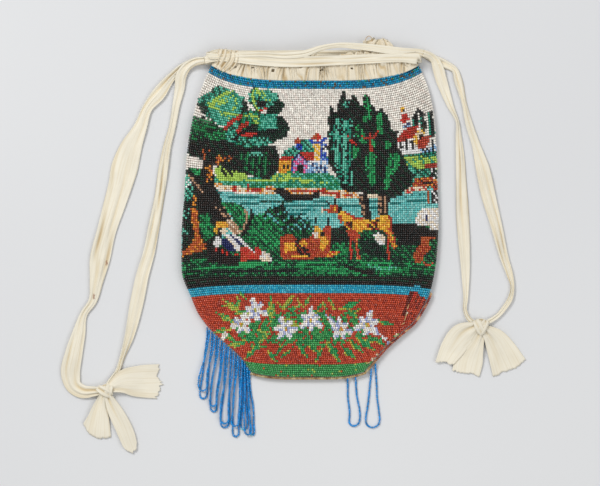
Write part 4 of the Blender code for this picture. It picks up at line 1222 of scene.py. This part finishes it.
def knit_left_trunks(chart):
    """The trunks and the undergrowth at the left."""
    chart.patch("ink bottle umber", (182, 170), (204, 168), (216, 190), (224, 204), (232, 222),
                (222, 236), (206, 258), (182, 262), ragged=0.3)
    chart.patch("white light_teal", (182, 172), (188, 174), (192, 186.5), (182, 187))
    chart.patch("teal light_teal ink", (182, 188), (193, 187), (195, 200), (182, 201), ragged=0.3)
    chart.box("light_teal ink bottle", 182, 209, 190, 220)
    chart.box("light_teal ink bottle", 182, 228, 191, 234)
    chart.patch("bright_green green", (190, 168), (200, 170), (201, 176), (192, 174), ragged=0.4)
    chart.patch("ink umber", (204, 160), (212, 160), (215, 186), (209, 196), (203, 190))
    chart.patch("rust umber orange", (205, 166), (211, 165), (213, 178), (207, 182), ragged=0.5)
    chart.patch("umber ink", (188, 171), (196, 175), (201, 184), (211, 186), (223, 203), (230, 220),
                (217, 223), (210, 214), (199, 210), (198, 196), (193, 187))
    chart.line("tan umber", 2.6, (189, 174), (196, 183), (203, 192))
    chart.line("tan umber", 3.2, (216, 208), (223, 214), (227, 219))
    chart.line("tan", 1.6, (222, 203), (229, 214), (234, 224))
    chart.patch("bright_green green bottle", (222.8, 201.5), (233, 202), (244.4, 206.4), (246.4, 211.4),
                (245.6, 223), (241, 231), (236, 224.7), (229.4, 213), (222, 206), ragged=0.4)
    chart.patch("tan cream tan", (227, 219), (232, 219), (237, 225), (242, 232), (236, 236), (229, 230))
    chart.line("tan", 2.2, (246, 210), (246.4, 222), (242, 232))
    chart.line("umber ink", 3.8, (251, 211), (252, 218), (248, 227), (243, 235))
    chart.spot("ink", 251.4, 211, 1.8)
    chart.patch("rust orange rust", (190.5, 208), (197, 208), (198, 218), (199.8, 234.6), (204, 244),
                (206, 249), (200, 252), (192, 253.7), (183, 257), (183, 251.6), (191, 245), (194.6, 234.6),
                (192, 222.2))
    chart.patch("rust orange umber", (193, 195.7), (197, 195.7), (198, 206.6), (193.4, 206.6))
    chart.line("umber rust", 1.8, (203, 236), (206, 246), (207, 253))
    chart.patch("green bottle bright_green", (199, 216), (208, 214), (214.5, 226), (212, 240), (206, 241),
                (201, 230), ragged=0.6)


def knit_meadow(chart):
    """The dark meadow in front, with its lighter grass."""
    chart.patch("bottle green bottle", (182, 250), (236, 234), (262, 214), (313, 228), (440, 222),
                (440, 290), (182, 290), ragged=0.2)
    chart.patch("-green bottle green bottle bright_green", (182, 266), (262, 262), (360, 266), (440, 262),
                (440, 271), (360, 275), (262, 271), (182, 274), ragged=0.9)
    chart.patch("-bottle ink green", (182, 275), (300, 276), (440, 276), (440, 282), (182, 282), ragged=0.5)
    chart.patch("green bright_green bottle", (247, 216), (254, 214), (264, 214), (277, 222), (282, 235),
                (279, 248), (270, 252), (255, 246), (246, 238), (242, 234), ragged=0.9)
    chart.patch("ink bottle umber", (313, 230), (345, 226), (352, 240), (340, 252), (330, 248),
                ragged=0.6)
    chart.patch("ink umber ink", (392, 225), (440, 228), (440, 238), (400, 246), (394, 236), ragged=0.6)
    chart.patch("ink umber", (212, 246), (222, 248), (240, 258), (262, 262), (240, 266), (206, 262),
                ragged=0.7)
    chart.patch("ink bottle", (360, 238), (376, 240), (384, 250), (398, 262), (362, 252), ragged=0.6)
    chart.patch("green bright_green bottle", (330, 244), (348, 242), (347, 262), (334, 260), ragged=1.0)
    for names, width, *points in (
            ("bright_green green", 2.0, (184, 268.6), (212, 267.4), (240, 267.8), (272, 268)),
            ("bright_green", 3.6, (240, 264.4), (262, 264)),
            ("bright_green green", 3.0, (298, 265), (320, 268), (347, 269)),
            ("bright_green green", 2.0, (188, 262), (204, 259)),
            ("bright_green", 2.4, (356, 261), (372, 263), (392, 264)),
            ("bright_green light_teal", 3.6, (368, 266), (384, 269), (396, 268.6)),
            ("bright_green green", 1.6, (392, 269.4), (410, 269.6)),
            ("ink umber", 3.0, (345, 266), (362, 272), (372, 272)),
            ("ink", 1.8, (190, 272), (240, 270.6), (300, 272)), ("ink bottle", 1.8, (372, 256), (404, 259)),
            ("ink umber", 2.2, (404, 243), (424, 246)), ("bright_green", 1.6, (300, 262.6), (346, 263.6))):
        chart.line(names, width, *points)


def knit_figure(chart):
    """A small figure at rest under the trees: a hat, a pale head without features, and loose clothes."""
    chart.patch("yellow orange yellow", (213.6, 233), (216, 222), (226, 222), (229, 226.6), (226, 229),
                (219, 229), (217, 233.4))
    chart.box("umber", 217, 228, 221, 235)
    chart.spot("cream", 224.2, 231, 3.4, 3.0)
    chart.patch("white", (213.4, 243), (217.8, 235.2), (222, 239), (219.8, 247.4), (215, 248.4))
    chart.patch("navy", (221, 239.4), (227, 237.6), (231.5, 244), (238, 252), (229.4, 252.4), (222.4, 245))
    chart.patch("white white cream", (224, 234.4), (230, 234), (241, 246), (243, 250.4), (238, 252.4),
                (230.6, 242.6))
    chart.line("navy", 2.4, (231, 235.4), (236, 240), (241, 244))
    chart.line("white", 3.0, (234.5, 235), (244, 243), (257.6, 256))
    chart.patch("scarlet brick", (240, 248), (246, 246.2), (253.5, 252), (261.6, 254), (259.6, 259),
                (249.3, 259), (244.4, 263), (240, 261))
    chart.patch("scarlet", (255, 246.6), (258.6, 246.6), (262.4, 252), (256.6, 253))
    chart.patch("white cream", (260, 257.6), (263.4, 251), (269.2, 253.4), (273.6, 261.4), (262.6, 261.4))
    for x, y in ((216.6, 249.2), (222.6, 251.2), (228, 253.6), (236.4, 254.4)):
        chart.spot("scarlet", x, y, 1.5)


def knit_cows(chart):
    """The lying and the standing cow, and the shapes at the meadow's right edge."""
    chart.patch("brick dark_brick rust", (279.4, 245), (281, 237.4), (287.5, 233.4), (294.4, 236),
                (297.4, 239.6), (309, 239.2), (315, 233), (330, 224.4), (330.4, 233), (330, 246),
                (329, 256.6), (313, 258.4), (299, 260), (286.6, 260), (280.6, 257.4))
    chart.patch("yellow yellow orange", (283.8, 243), (295, 242.6), (296.8, 251.4), (285, 252.2))
    chart.patch("umber ink dark_brick", (295, 238), (299.4, 241), (309, 251), (311, 257), (298, 257),
                (296, 249), ragged=0.4)
    chart.patch("orange yellow dark_brick", (299, 240.4), (307.4, 240), (306, 248), (301, 247))
    chart.line("yellow", 1.8, (292.5, 257), (307.4, 257))
    chart.patch("yellow yellow orange", (313.6, 225), (318, 226), (324, 232), (326.6, 238), (328.4, 244),
                (322, 252.4), (319.4, 247), (321, 240), (314, 234))
    chart.patch("cream white", (313, 232.4), (318.6, 232), (318.4, 238.6), (313.6, 238.8))
    chart.box("ink umber", 320.4, 232, 325.4, 237)
    chart.line("ink", 2.2, (315.4, 218.6), (315.6, 223.6))
    chart.line("ink", 2.2, (328.6, 219), (328, 225.4))
    chart.patch("yellow orange scarlet", (327.6, 252.6), (338.8, 249.8), (340, 252.6), (332, 257.4),
                (327.6, 256.4))
    chart.patch("yellow yellow orange", (337, 214.6), (341.2, 210.6), (345.3, 213), (348.7, 214.7),
                (352.8, 218), (359.4, 218.9), (374.4, 218.9), (378.5, 216.4), (387.6, 214.4), (391, 218),
                (391.6, 230.5), (388, 234), (379.3, 228.6), (366, 230), (359.4, 232.6), (350.3, 231),
                (346.2, 226.3), (340.4, 220))
    chart.line("dark_brick scarlet", 2.2, (344.6, 212.6), (349, 214.4), (354, 217.6), (362, 218.6))
    chart.patch("brick rust", (337, 213.4), (341.4, 215.6), (342.4, 224.4), (339.4, 223))
    chart.patch("umber dark_brick", (346.6, 221), (352, 222.6), (352, 230.4), (347, 228))
    chart.patch("dark_brick umber yellow", (366, 219), (378.4, 219), (379, 230), (368, 229.6),
                ragged=0.4)
    chart.patch("brick dark_brick", (346, 229), (358, 231.6), (360, 236), (357, 243), (352, 241),
                (347.6, 234))
    chart.line("scarlet brick", 2.6, (350.6, 236), (350.8, 248), (351.4, 258.6))
    chart.line("brick orange brick", 2.6, (357.6, 236), (357, 248), (358.4, 258.6))
    chart.line("dark_brick", 2.4, (388.6, 216), (391.4, 222), (391, 232))
    chart.patch("yellow orange brick", (384.6, 229), (390.6, 229), (394, 240), (396.6, 247), (393.6, 250),
                (389, 241))
    chart.line("scarlet brick", 2.6, (387.6, 240), (388, 250), (388.4, 258.6))
    chart.line("dark_brick brick", 2.0, (393.6, 233), (395.6, 241))
    chart.patch("white cream", (372.7, 235), (379.3, 232.6), (385.6, 238), (385.6, 243.7), (380, 244.8),
                (375.2, 239.8))
    chart.patch("brick dark_brick rust", (322, 210), (328.8, 209), (332, 203.8), (338.9, 206.4),
                (337.6, 213), (333, 214.4), (328, 212))
    chart.spot("yellow", 334.4, 208.8, 1.4)
    chart.box("white cream", 320.4, 207, 324, 213.2)
    chart.patch("ink umber", (337, 206), (343, 207), (340, 212), (337, 214))
    chart.line("ink", 2.0, (325.6, 200.6), (328.6, 203.4))
    chart.line("ink", 2.0, (334.6, 200.4), (334.8, 204))
    chart.patch("rust dark_brick rust", (420, 234.6), (429, 233.4), (436.4, 237), (434, 240), (429.4, 240),
                (430.4, 249.6), (423.9, 256.2), (422.8, 262), (415, 264), (413, 253), (420, 245.4),
                (421.2, 239.8))
    chart.line("brick", 1.8, (423, 262.6), (428, 266), (433, 262.4))
    chart.patch("white white cream", (415.4, 219), (419.6, 210), (423.3, 208.6), (439, 208.6), (439, 229.4),
                (430.8, 229.4), (428.3, 226), (417.5, 226.6), (414.6, 222))
    chart.line("navy", 2.6, (426.2, 216.6), (426.6, 219.4))
    chart.patch("ink umber", (392, 225), (415, 222.6), (418, 227), (428, 227), (431, 230), (440, 231),
                (440, 237), (394, 236))


def knit_lily(chart, x, y, size, turn):
    """A white lily with broad petals, lilac in its folds, and an orange heart."""
    for k in range(6):
        angle = math.radians(turn + 60 * k)
        reach = size * (1.0, 0.78, 0.94, 0.82, 1.0, 0.74)[k]
        to_x, to_y = math.cos(angle), math.sin(angle)

        def at(along, across):
            return (x + reach * along * to_x - size * across * to_y,
                    y + reach * along * to_y + size * across * to_x)

        chart.patch("white", (x, y), at(0.40, 0.19), at(0.78, 0.16), at(1.0, 0.0), at(0.78, -0.16),
                    at(0.40, -0.19))
        chart.line("lilac lilac white", 1.7, at(0.18, -0.12), at(0.55, -0.20), at(0.85, -0.13))
        chart.line("cream", 0.9, at(0.3, 0.12), at(0.7, 0.12))
    chart.spot("orange leaf_gold", x, y, 1.9)


def knit_spray(chart):
    """The spray of lilies and leaves on the brick red field."""
    chart.patch("leaf green leaf", (236, 334), (246, 322), (262, 320), (274, 316), (290, 312),
                (302, 312), (318, 310), (330, 316), (350, 318), (360, 314), (370, 322), (374, 334),
                (358, 340), (344, 342), (330, 345), (312, 348), (294, 346), (276, 342), (256, 343),
                (244, 340), ragged=1.5)
    chart.scatter((chart.place < 0.25) & (chart.place > 0.06), "brick dark_brick", 0.13)
    chart.patch("brick dark_brick", (262, 333), (272, 330), (272, 338), (264, 340), ragged=0.8)
    chart.patch("brick", (352, 331), (358, 330), (356, 340), (350, 339), ragged=0.8)
    gold = (
        (240, 313, 224, 300), (239, 309, 238, 296), (249, 312, 235, 314), (235, 323, 217, 313),
        (231, 329, 215, 333), (235, 341, 218, 331), (244, 343, 226, 346), (272, 323, 270, 297),
        (282, 309, 293, 296), (288, 309, 301, 305), (300, 305, 297, 298), (304, 307, 310, 296),
        (281, 318, 301, 328), (266, 347, 251, 346), (258, 329, 268, 335), (270, 331, 258, 344),
        (327, 309, 322, 303), (334, 309, 329, 299), (331, 352, 327, 343), (278, 303, 284, 309),
        (232, 305, 222, 306), (246, 299, 240, 293),
    )
    green = (
        (256, 348, 245, 359), (268, 350, 277, 362), (291, 350, 281, 357), (299, 347, 307, 356),
        (323, 347, 316, 361), (329, 342, 339, 361), (341, 345, 356, 359), (356, 337, 374, 350),
        (364, 340, 381, 339), (339, 309, 360, 301), (345, 314, 360, 309), (377, 320, 392, 325),
        (357, 320, 348, 309), (262, 341, 251, 352), (309, 346, 318, 352), (284, 345, 276, 354),
        (350, 340, 362, 352), (374, 338, 384, 345), (316, 313, 320, 305), (248, 339, 238, 346),
    )
    for number, (ax, ay, bx, by) in enumerate(gold + green):
        mx, my = (ax + bx) / 2, (ay + by) / 2
        nx, ny = -(by - ay) * 0.17, (bx - ax) * 0.17
        golden = number < len(gold)
        names = ("leaf_gold leaf_light", "leaf_light leaf leaf_gold") if golden else (
            "leaf green leaf", "green leaf bright_green")
        chart.patch(names[number % 2], (ax, ay), (mx + nx, my + ny), (bx, by), (mx - nx, my - ny))
        chart.line(names[number % 2], 2.2, (ax, ay), (bx, by))
        chart.line("leaf" if golden else "leaf_gold", 0.8, (ax, ay), (mx + nx, my + ny), (bx, by))
    for x, y, size, turn in (
            (255.5, 310.5, 14.0, 18), (241.5, 324.0, 13.0, 48), (285.5, 328.5, 14.0, 8),
            (311.0, 320.5, 14.5, 32), (341.0, 329.5, 13.0, 18), (367.5, 324.5, 15.5, 46)):
        knit_lily(chart, x, y, size, turn)
    chart.patch("white white lilac", (326, 315), (331, 317), (337, 326), (331, 325))
    chart.patch("white cream white", (221, 335), (225, 331.5), (228, 334), (225, 340), (221.5, 340.5))
    for x, y in ((379, 334.5), (382, 336.5), (385, 338.5), (388, 342), (391, 343.5)):
        chart.spot("white lilac", x, y, 1.7)
    knit_turned_corner(chart)


def knit_turned_corner(chart):
    """The lower right corner, turned over and mended: dark diagonal stripes for its slanting rows, a painted
    shadow along the fold, a painted highlight on the fold's edge, and the turquoise bends down.
    """
    chart.patch("brick dark_brick brick", (415, 289), (432, 299), (426, 311), (414, 325), (402, 330),
                (404, 314), (409, 300))
    chart.patch("turquoise turquoise_light turquoise", (413.5, 284.5), (432, 290), (429, 300.5), (421, 296.5),
                (415, 290.5))
    for k in range(4):
        x, y = 418.6 + 3.7 * k, 294.6 + 2.3 * k
        chart.line("deep_brick dark_brick", 1.5, (x, y), (x - 11 + k, y + 26 - 4 * k))
    # Painted shadow beside the fold
    chart.line("deep_brick", 3.4, (411.4, 292), (408.6, 300), (405, 309), (403, 315))
    # Painted highlight along the fold's edge
    chart.line("scarlet brick", 2.2, (414.8, 291.6), (411.6, 300), (408.2, 309), (405.6, 317))
    chart.line("cream tan", 1.3, (408.4, 308), (404.8, 318))
    for names, x, y, size in (
            ("cream yellow_green leaf", 396.4, 336, 2.5), ("white cream", 391.6, 343.2, 1.8),
            ("yellow cream leaf_gold", 385.6, 348, 1.9), ("rust cream", 377.4, 354.4, 1.8),
            ("cream tan", 373.4, 359, 1.7)):
        chart.spot(names, x, y, size)


def bead_colours(middles, place, row, column, side, chance):
    """The colour of every bead of a face; the back's picture is the front's, turned over."""
    chart = Chart(middles, place, row, column, side, chance)
    for knit in (knit_upper_bands, knit_village, knit_right_village, knit_meadow, knit_river,
                 knit_left_trees, knit_poplars, knit_left_trunks, knit_figure, knit_cows,
                 knit_lower_bands, knit_spray):
        knit(chart)
    return chart.colours * chance.normal(1.0, 0.10, (len(place), 1)).clip(0.6, 1.35)


def rim_height(x):
    """The y of the beadwork's top edge at x."""
    return row_y(1.0, rim_share(x))


HEADER_TOP = (
    (-0.0700, 0.1190), (-0.0620, 0.1228), (-0.0540, 0.1222), (-0.0480, 0.1205), (-0.0300, 0.1190),
    (-0.0100, 0.1186), (0.0080, 0.1190), (0.0150, 0.1178), (0.0260, 0.1205), (0.0420, 0.1215),
    (0.0600, 0.1208), (0.0720, 0.1190),
)
GATHERS = 50
GATHER_DEPTH = 0.00090
TUFT_RISE = 0.0082
HEADER_THICKNESS = 0.0003
LEAST_HEIGHT = 0.0004
HEADER_FLAT_SIZE = (0.62, 0.022)
# Worn holes in the header's front: x, y and half their width and height, in metres
HEADER_HOLES = (
    (-0.0525, 0.1113, 0.0014, 0.0007), (-0.0399, 0.1106, 0.0012, 0.0007), (-0.0259, 0.1085, 0.0013, 0.0008),
    (0.0080, 0.1090, 0.0010, 0.0007), (0.0290, 0.1098, 0.0011, 0.0008),
)
# Bunches of the header's silk: name, stations (x, y, height and width in millimetres), flat width and folds
SILK_BUNCHES = (
    ("left_corner_bunch", ((-64.0, 108.8, 6.2, 8.0), (-60.6, 113.0, 8.8, 13.0), (-57.6, 118.0, 10.4, 14.5),
                           (-56.8, 122.6, 9.6, 13.0)), 0.050, 4.6),
    ("right_corner_bunch", ((72.0, 110.5, 5.4, 5.0), (70.5, 114.5, 8.2, 9.0), (69.5, 119.5, 9.0, 11.0)),
     0.036, 3.4),
    ("back_tuft", ((45.0, 117.0, 2.6, 14.0), (46.5, 122.0, 4.6, 20.0), (48.5, 127.5, 5.6, 20.0),
                   (49.0, 131.0, 4.2, 10.0)), 0.060, 3.1),
)


def gathered_header(header_silk):
    """The silk tube above the beadwork, gathered along both its edges."""
    rows, steps = 20, 320
    left_rim, right_rim = float(edge_left(1.0)), float(edge_right(1.0))
    fold = HEADER_FOLD_RADIUS
    arc = math.pi / 2 * fold
    share = np.linspace(0, 1, steps + 1)
    rings, folds_and_shade = [], []
    for k in range(rows):
        up = k / (rows - 1)
        left, right = left_rim + HEADER_TAKE_IN * up, right_rim - HEADER_TAKE_IN * up
        flat = right - left - 2 * fold
        run = share * (2 * arc + flat)
        ends = np.clip(np.minimum(run, 2 * arc + flat - run) / arc, 0, 1) * math.pi / 2
        middle_x = left + fold + np.clip(run - arc, 0, flat)
        x = np.where(run < arc, left + fold * (1 - np.cos(ends)), np.where(
            run > arc + flat, right - fold * (1 - np.cos(ends)), middle_x))
        across = (2 * x - left - right) / (right - left)
        pinch = 0.35 + 0.65 * math.sin(math.pi * min(up * 1.15, 1.0)) ** 0.7
        for side in (1, -1):
            # Uneven gathers, which lean more towards the top
            turn = share * GATHERS + (0.5 * up + 0.45 * np.sin(share * 23 + side)) * side
            turn = turn + 0.42 * np.sin(share * 41 + 2 * side + 1.5 * up) + 0.3 * np.sin(share * 97 - 3 * up)
            turn = turn + up * (1.3 * np.sin(share * 33 + 0.6 * side) + 0.5 * np.sin(share * 79))
            fold_and_shade = np.sin(2 * math.pi * turn) + 0.5 * np.sin(2 * math.pi * turn * 1.73 + 2 * up + side)
            fold_and_shade = fold_and_shade * (0.70 + 0.45 * np.sin(share * 67 + 3.1 * side))
            folds_and_shade.append(fold_and_shade if side > 0 else fold_and_shade[::-1][1:-1])
            swell = HEADER_CROWN * (1 - np.abs(across)**3) if side > 0 else 0
            relief = fold_and_shade * GATHER_DEPTH * pinch * np.sin(ends)
            z = HEADER_LIFT + fold + side * (fold * np.sin(ends)) + swell + side * relief
            low = rim_height(x) - 0.0006
            top = smooth_values(HEADER_TOP, x)
            if side < 0:
                top = top + TUFT_RISE * np.exp(-((x - TUFT_PLACE) / TUFT_WIDTH)**4)
            top = top + 0.0005 * np.sin(2 * math.pi * turn * 0.5) + 0.0004 * np.sin(share * 150 + side)
            sway = 0.0004 * np.sin(2 * math.pi * turn + 1.3) * pinch * np.sin(ends)
            ring = np.stack([x + sway, low + up * (top - low), z], -1)
            rings.append(ring if side > 0 else ring[::-1][1:-1])
    columns = 2 * steps
    points = np.concatenate(rings)
    points[:, 2] = np.maximum(points[:, 2], LEAST_HEIGHT)
    faces = []
    for face in grid_faces(rows, columns, closed=True):
        x, y, z = points[list(face)].mean(axis=0)
        holed = z > HEADER_LIFT + fold and any(
            math.hypot((x - hx) / half_x, (y - hy) / half_y) < 1 for hx, hy, half_x, half_y in HEADER_HOLES)
        if not holed:
            faces.append(face)
    header = new_mesh_object("gathered_silk_header", points, faces)
    width, height = HEADER_FLAT_SIZE
    give_uv(header, np.stack([np.tile(np.linspace(0, width, columns), rows),
                              np.repeat(np.linspace(0, height, rows), columns)], -1))
    # How deep each point lies in a gather, for the painted shade in the gathers
    give_fold_shade(header, 0.60 + 0.36 * np.concatenate(folds_and_shade))
    header.data.shade_smooth()
    apply_modifier(header, "SOLIDIFY", thickness=HEADER_THICKNESS, offset=-1)
    dress(header, header_silk, "header_silk", "gathered_header")
    for number, (name, places, full_width, folds) in enumerate(SILK_BUNCHES):
        stations = along_route(np.array(places) * MM, 0.0008)
        bunch = silk_strip(name, stations, facing_up(stations), 80 + number, columns=61,
                           full_width=full_width, folds=folds, floor=False, frayed=0.0005,
                           depth_limit=0.0013)
        dress(bunch, header_silk, "header_silk", "gathered_header")


def tuft_thread(thread):
    """A loose loop of thread that stands out of the tuft at the back of the header."""
    line = along_route((
        (0.0385, 0.1285, 0.0050), (0.0395, 0.1318, 0.0056), (0.0412, 0.1330, 0.0058),
        (0.0432, 0.1316, 0.0056), (0.0436, 0.1290, 0.0052), (0.0452, 0.1262, 0.0050)), 0.0004)
    loop = new_mesh_object("tuft_thread_loop", *thin_tube(line, 0.00022))
    loop.data.shade_smooth()
    dress(loop, thread, "seam_thread")


def beside_slant(edge, side, place, beyond=0.0):
    """Where a loop is tied beside a slanting edge, as in the CAD."""
    along_x = float(edge(place + SLANT_STEP) - edge(place))
    along_y = float(row_y(place + SLANT_STEP, side) - row_y(place, side))
    length = math.hypot(along_x, along_y)
    out = CLEARANCE + beyond + STRAND_DIAMETER / 2
    return (float(edge(place)) + side * out * along_y / length,
            float(row_y(place, side)) - side * out * along_x / length)


def bottom_point(share):
    x = float(edge_left(0.0) + (edge_right(0.0) - edge_left(0.0)) * share)
    return x, float(row_y(0.0, 2 * share - 1))


def below_seam(share):
    """Where a loop is tied below the bottom's seam."""
    x, y = bottom_point(share)
    return x, y - 2 * CLEARANCE - SEAM_DIAMETER


def loop_points(start, end, low_x, low_y, width, layer):
    """A hanging loop's route between its two tied ends, as in the CAD."""
    radius = STRAND_DIAMETER / 2
    bed = radius + layer * (STRAND_DIAMETER + CLEARANCE)
    half = width * MM / 2
    bend_x, bend_y = low_x * MM, low_y * MM + half + radius
    sides = []
    for tie, side in ((start, -1), (end, 1)):
        points = []
        for share in LOOP_SIDE_SHARES:
            ease = share * share * (3 - 2 * share)
            points.append((
                tie[0] + (bend_x + side * half - tie[0]) * ease, tie[1] + (bend_y - tie[1]) * share,
                bed + LOOP_TIE_RISE * max(1 - share / LOOP_SIDE_SHARES[2], 0)))
        sides.append(points)
    bend = []
    for degrees in range(0, 181, 30):
        angle = math.radians(degrees)
        bend.append((bend_x - half * math.cos(angle), bend_y - half * math.sin(angle), bed))
    return sides[0] + bend + sides[1][::-1]


def thin_tube(line, radius, sides=6):
    """The points and triangles of a thread along a line."""
    along = unit(np.gradient(line, axis=0))
    first = np.cross(along, UP)
    first /= np.maximum(np.linalg.norm(first, axis=1)[:, None], 1e-9)
    second = np.cross(along, first)
    angles = np.arange(sides) / sides * 2 * math.pi
    ring = first[:, None] * np.cos(angles)[None, :, None] + second[:, None] * np.sin(angles)[None, :, None]
    points = (line[:, None] + ring * radius).reshape(-1, 3)
    points = np.concatenate([points, line[:1], line[-1:]])
    faces = []
    for r in range(len(line) - 1):
        for c in range(sides):
            a, b = r * sides + c, r * sides + (c + 1) % sides
            faces += [(a, b, b + sides), (a, b + sides, a + sides)]
    last = (len(line) - 1) * sides
    for c in range(sides):
        n = (c + 1) % sides
        faces += [(n, c, len(points) - 2), (last + c, last + n, len(points) - 1)]
    return points, np.array(faces)


FRINGE_BLUE = (0, 142, 216)
PALE_FRINGE_BLUE = (120, 214, 236)
FRINGE_THREAD = (196, 180, 150)
# Loops whose lowest beads are of the paler blue
GLINTING_LOOPS = (9, 11)


def fringe(glass):
    """Short loops of blue beads, tied to the bag's lower edges."""
    over_seam = SEAM_DIAMETER + CLEARANCE
    loops = []
    for rows, tie in (
            (LEFT_FRINGE, lambda place: beside_slant(edge_left, -1, place)), (BOTTOM_FRINGE, below_seam),
            (RIGHT_FRINGE, lambda place: beside_slant(edge_right, 1, place, over_seam))):
        for start, end, *how in rows:
            loops.append((tie(start), tie(end), *how))
    bead = modelled_bead(8, 5)
    chance = np.random.default_rng(5)
    for number, loop in enumerate(loops, 1):
        line = along_route(loop_points(*loop), FRINGE_PITCH)
        way = np.linspace(0, 1, len(line))
        sway = np.sin(way * math.pi) * np.sin(way * 19 + number * 1.7)
        line[:, 0] += 0.00045 * sway
        count = len(line)
        frames = frames_along(np.gradient(line, axis=0), facing_up(line))
        sizes = np.tile((FRINGE_PITCH * 1.06, FRINGE_WIDTH, FRINGE_WIDTH), (count, 1))
        sizes = sizes * chance.normal(1.0, 0.05, (count, 1)).clip(0.88, 1.1)
        brightness = chance.normal(1.0, 0.16, (count, 1)).clip(0.6, 1.5)
        colours = np.tile(srgb(*FRINGE_BLUE), (count, 1)) * brightness
        if number in GLINTING_LOOPS:
            colours[count // 2 - 1:count // 2 + 1] = srgb(*PALE_FRINGE_BLUE)
        middles = line + chance.normal(0, 0.00004, line.shape)
        middles[:, 2] = np.maximum(middles[:, 2], FRINGE_WIDTH / 2)
        strand = strung(f"fringe_strand_{number:02d}", bead, middles, frames, sizes, colours,
                        thin_tube(line, 0.0002), srgb(*FRINGE_THREAD))
        dress(strand, glass, "fringe_beads", f"fringe_loop_{number:02d}")


# Stitches at the mended edge, lower right, on the chart's squares: from x, y to x, y
MENDING_STITCHES = (
    (404.5, 320.5, 406.5, 313.5), (407.4, 309.0, 408.6, 304.4), (401.5, 324.5, 404.5, 322.5),
    (389.0, 341.0, 392.6, 343.6), (384.6, 345.4, 387.4, 348.6), (377.0, 353.4, 379.0, 356.6),
    (373.0, 358.0, 375.4, 361.4), (394.6, 335.0, 397.4, 337.4), (366.5, 363.5, 370.0, 362.0),
)


def front_height(x, y):
    """The height of the bag's front at x, y, by the nearest of a fine net of its points."""
    place, share = np.meshgrid(np.linspace(0.0, 0.45, 90), np.linspace(0.5, 1.0, 120))
    net = bag_surface(place.ravel(), share.ravel(), 1, 0.0)
    away = (net[None, :, 0] - x[:, None])**2 + (net[None, :, 1] - y[:, None])**2
    return net[away.argmin(axis=1), 2]


def outwards(line):
    """The directions away from the bag, for a line that runs round its edge."""
    along = unit(np.gradient(line, axis=0))
    return np.stack([along[:, 1], -along[:, 0], np.zeros(len(line))], -1)


def edge_thread(thread):
    """The overcast thread that closes the bottom edge and the lower right side, and the mending stitches."""
    line = [(*bottom_point(share), FOLD_RADIUS) for share in np.linspace(0, 1, 60)]
    for place in np.linspace(0, SEAM_END_PLACE, 70)[1:]:
        line.append((float(edge_right(place)), float(row_y(place, 1)), FOLD_RADIUS))
    line = np.array(line)
    line = along_route(line + outwards(line) * (CLEARANCE + SEAM_DIAMETER / 2), SEAM_STEP)
    run = np.arange(len(line)) * SEAM_STEP
    turns = run / STITCH_PITCH * 2 * math.pi + 0.5 * np.sin(run * 300)
    wound = line + outwards(line) * (np.cos(turns) * 0.00085)[:, None] + np.array(UP) * (
        np.sin(turns) * 0.00095)[:, None]
    tubes = [thin_tube(line, 0.00055, 8), thin_tube(wound, 0.00034)]
    for ax, ay, bx, by in MENDING_STITCHES:
        ends = np.array(((ax, ay), (bx, by)))
        xy = np.linspace(0, 1, 7)[:, None] * (ends[1] - ends[0]) + ends[0]
        x, y = (xy[:, 0] - CHART_ORIGIN[0]) * CHART_SQUARE, (CHART_ORIGIN[1] - xy[:, 1]) * CHART_SQUARE
        rise = np.sin(np.linspace(0, math.pi, 7)) * 0.0006
        stitch = np.stack([x, y, front_height(x, y) + 0.0004 + rise], -1)
        tubes.append(thin_tube(stitch, 0.00030))
    seam = new_mesh_object("overcast_seam", *joined(tubes))
    seam.data.shade_smooth()
    dress(seam, thread, "seam_thread", "bottom_seam")


def main():
    bpy.ops.object.select_all(action="DESELECT")
    set_camera()
    set_floor_and_light()
    ribbon_silk = silk("ribbon_silk", srgb(245, 238, 219), srgb(230, 218, 190), srgb(134, 72, 44))
    drawstring(ribbon_silk, -1, LEFT_OUTER_STRAND, LEFT_INNER_STRAND, LEFT_CASING, LEFT_KNOT, LEFT_TAILS,
               LEFT_CUTS)
    drawstring(ribbon_silk, 1, RIGHT_OUTER_STRAND, RIGHT_INNER_STRAND, RIGHT_CASING, RIGHT_KNOT,
               RIGHT_TAILS, RIGHT_CUTS)
    ground = shell("knitted_ground", GROUND_INSET, 74, 0.0, 72)
    dress(ground, ground_thread(), "beadwork", "beadwork_bag")
    lining = shell("silk_lining_bag", LINING_INSET, 30, 0.012, 56)
    lining_silk = silk("lining_silk", srgb(226, 214, 188), srgb(200, 184, 150), fold_shaded=False)
    dress(lining, lining_silk, "lining_silk", "silk_lining")
    tint_ground(ground, *beadwork(glass_beads()))
    gathered_header(silk("header_silk", srgb(240, 230, 208), srgb(214, 196, 162)))
    thread = sewing_thread()
    edge_thread(thread)
    tuft_thread(thread)
    fringe(fringe_glass())


main()
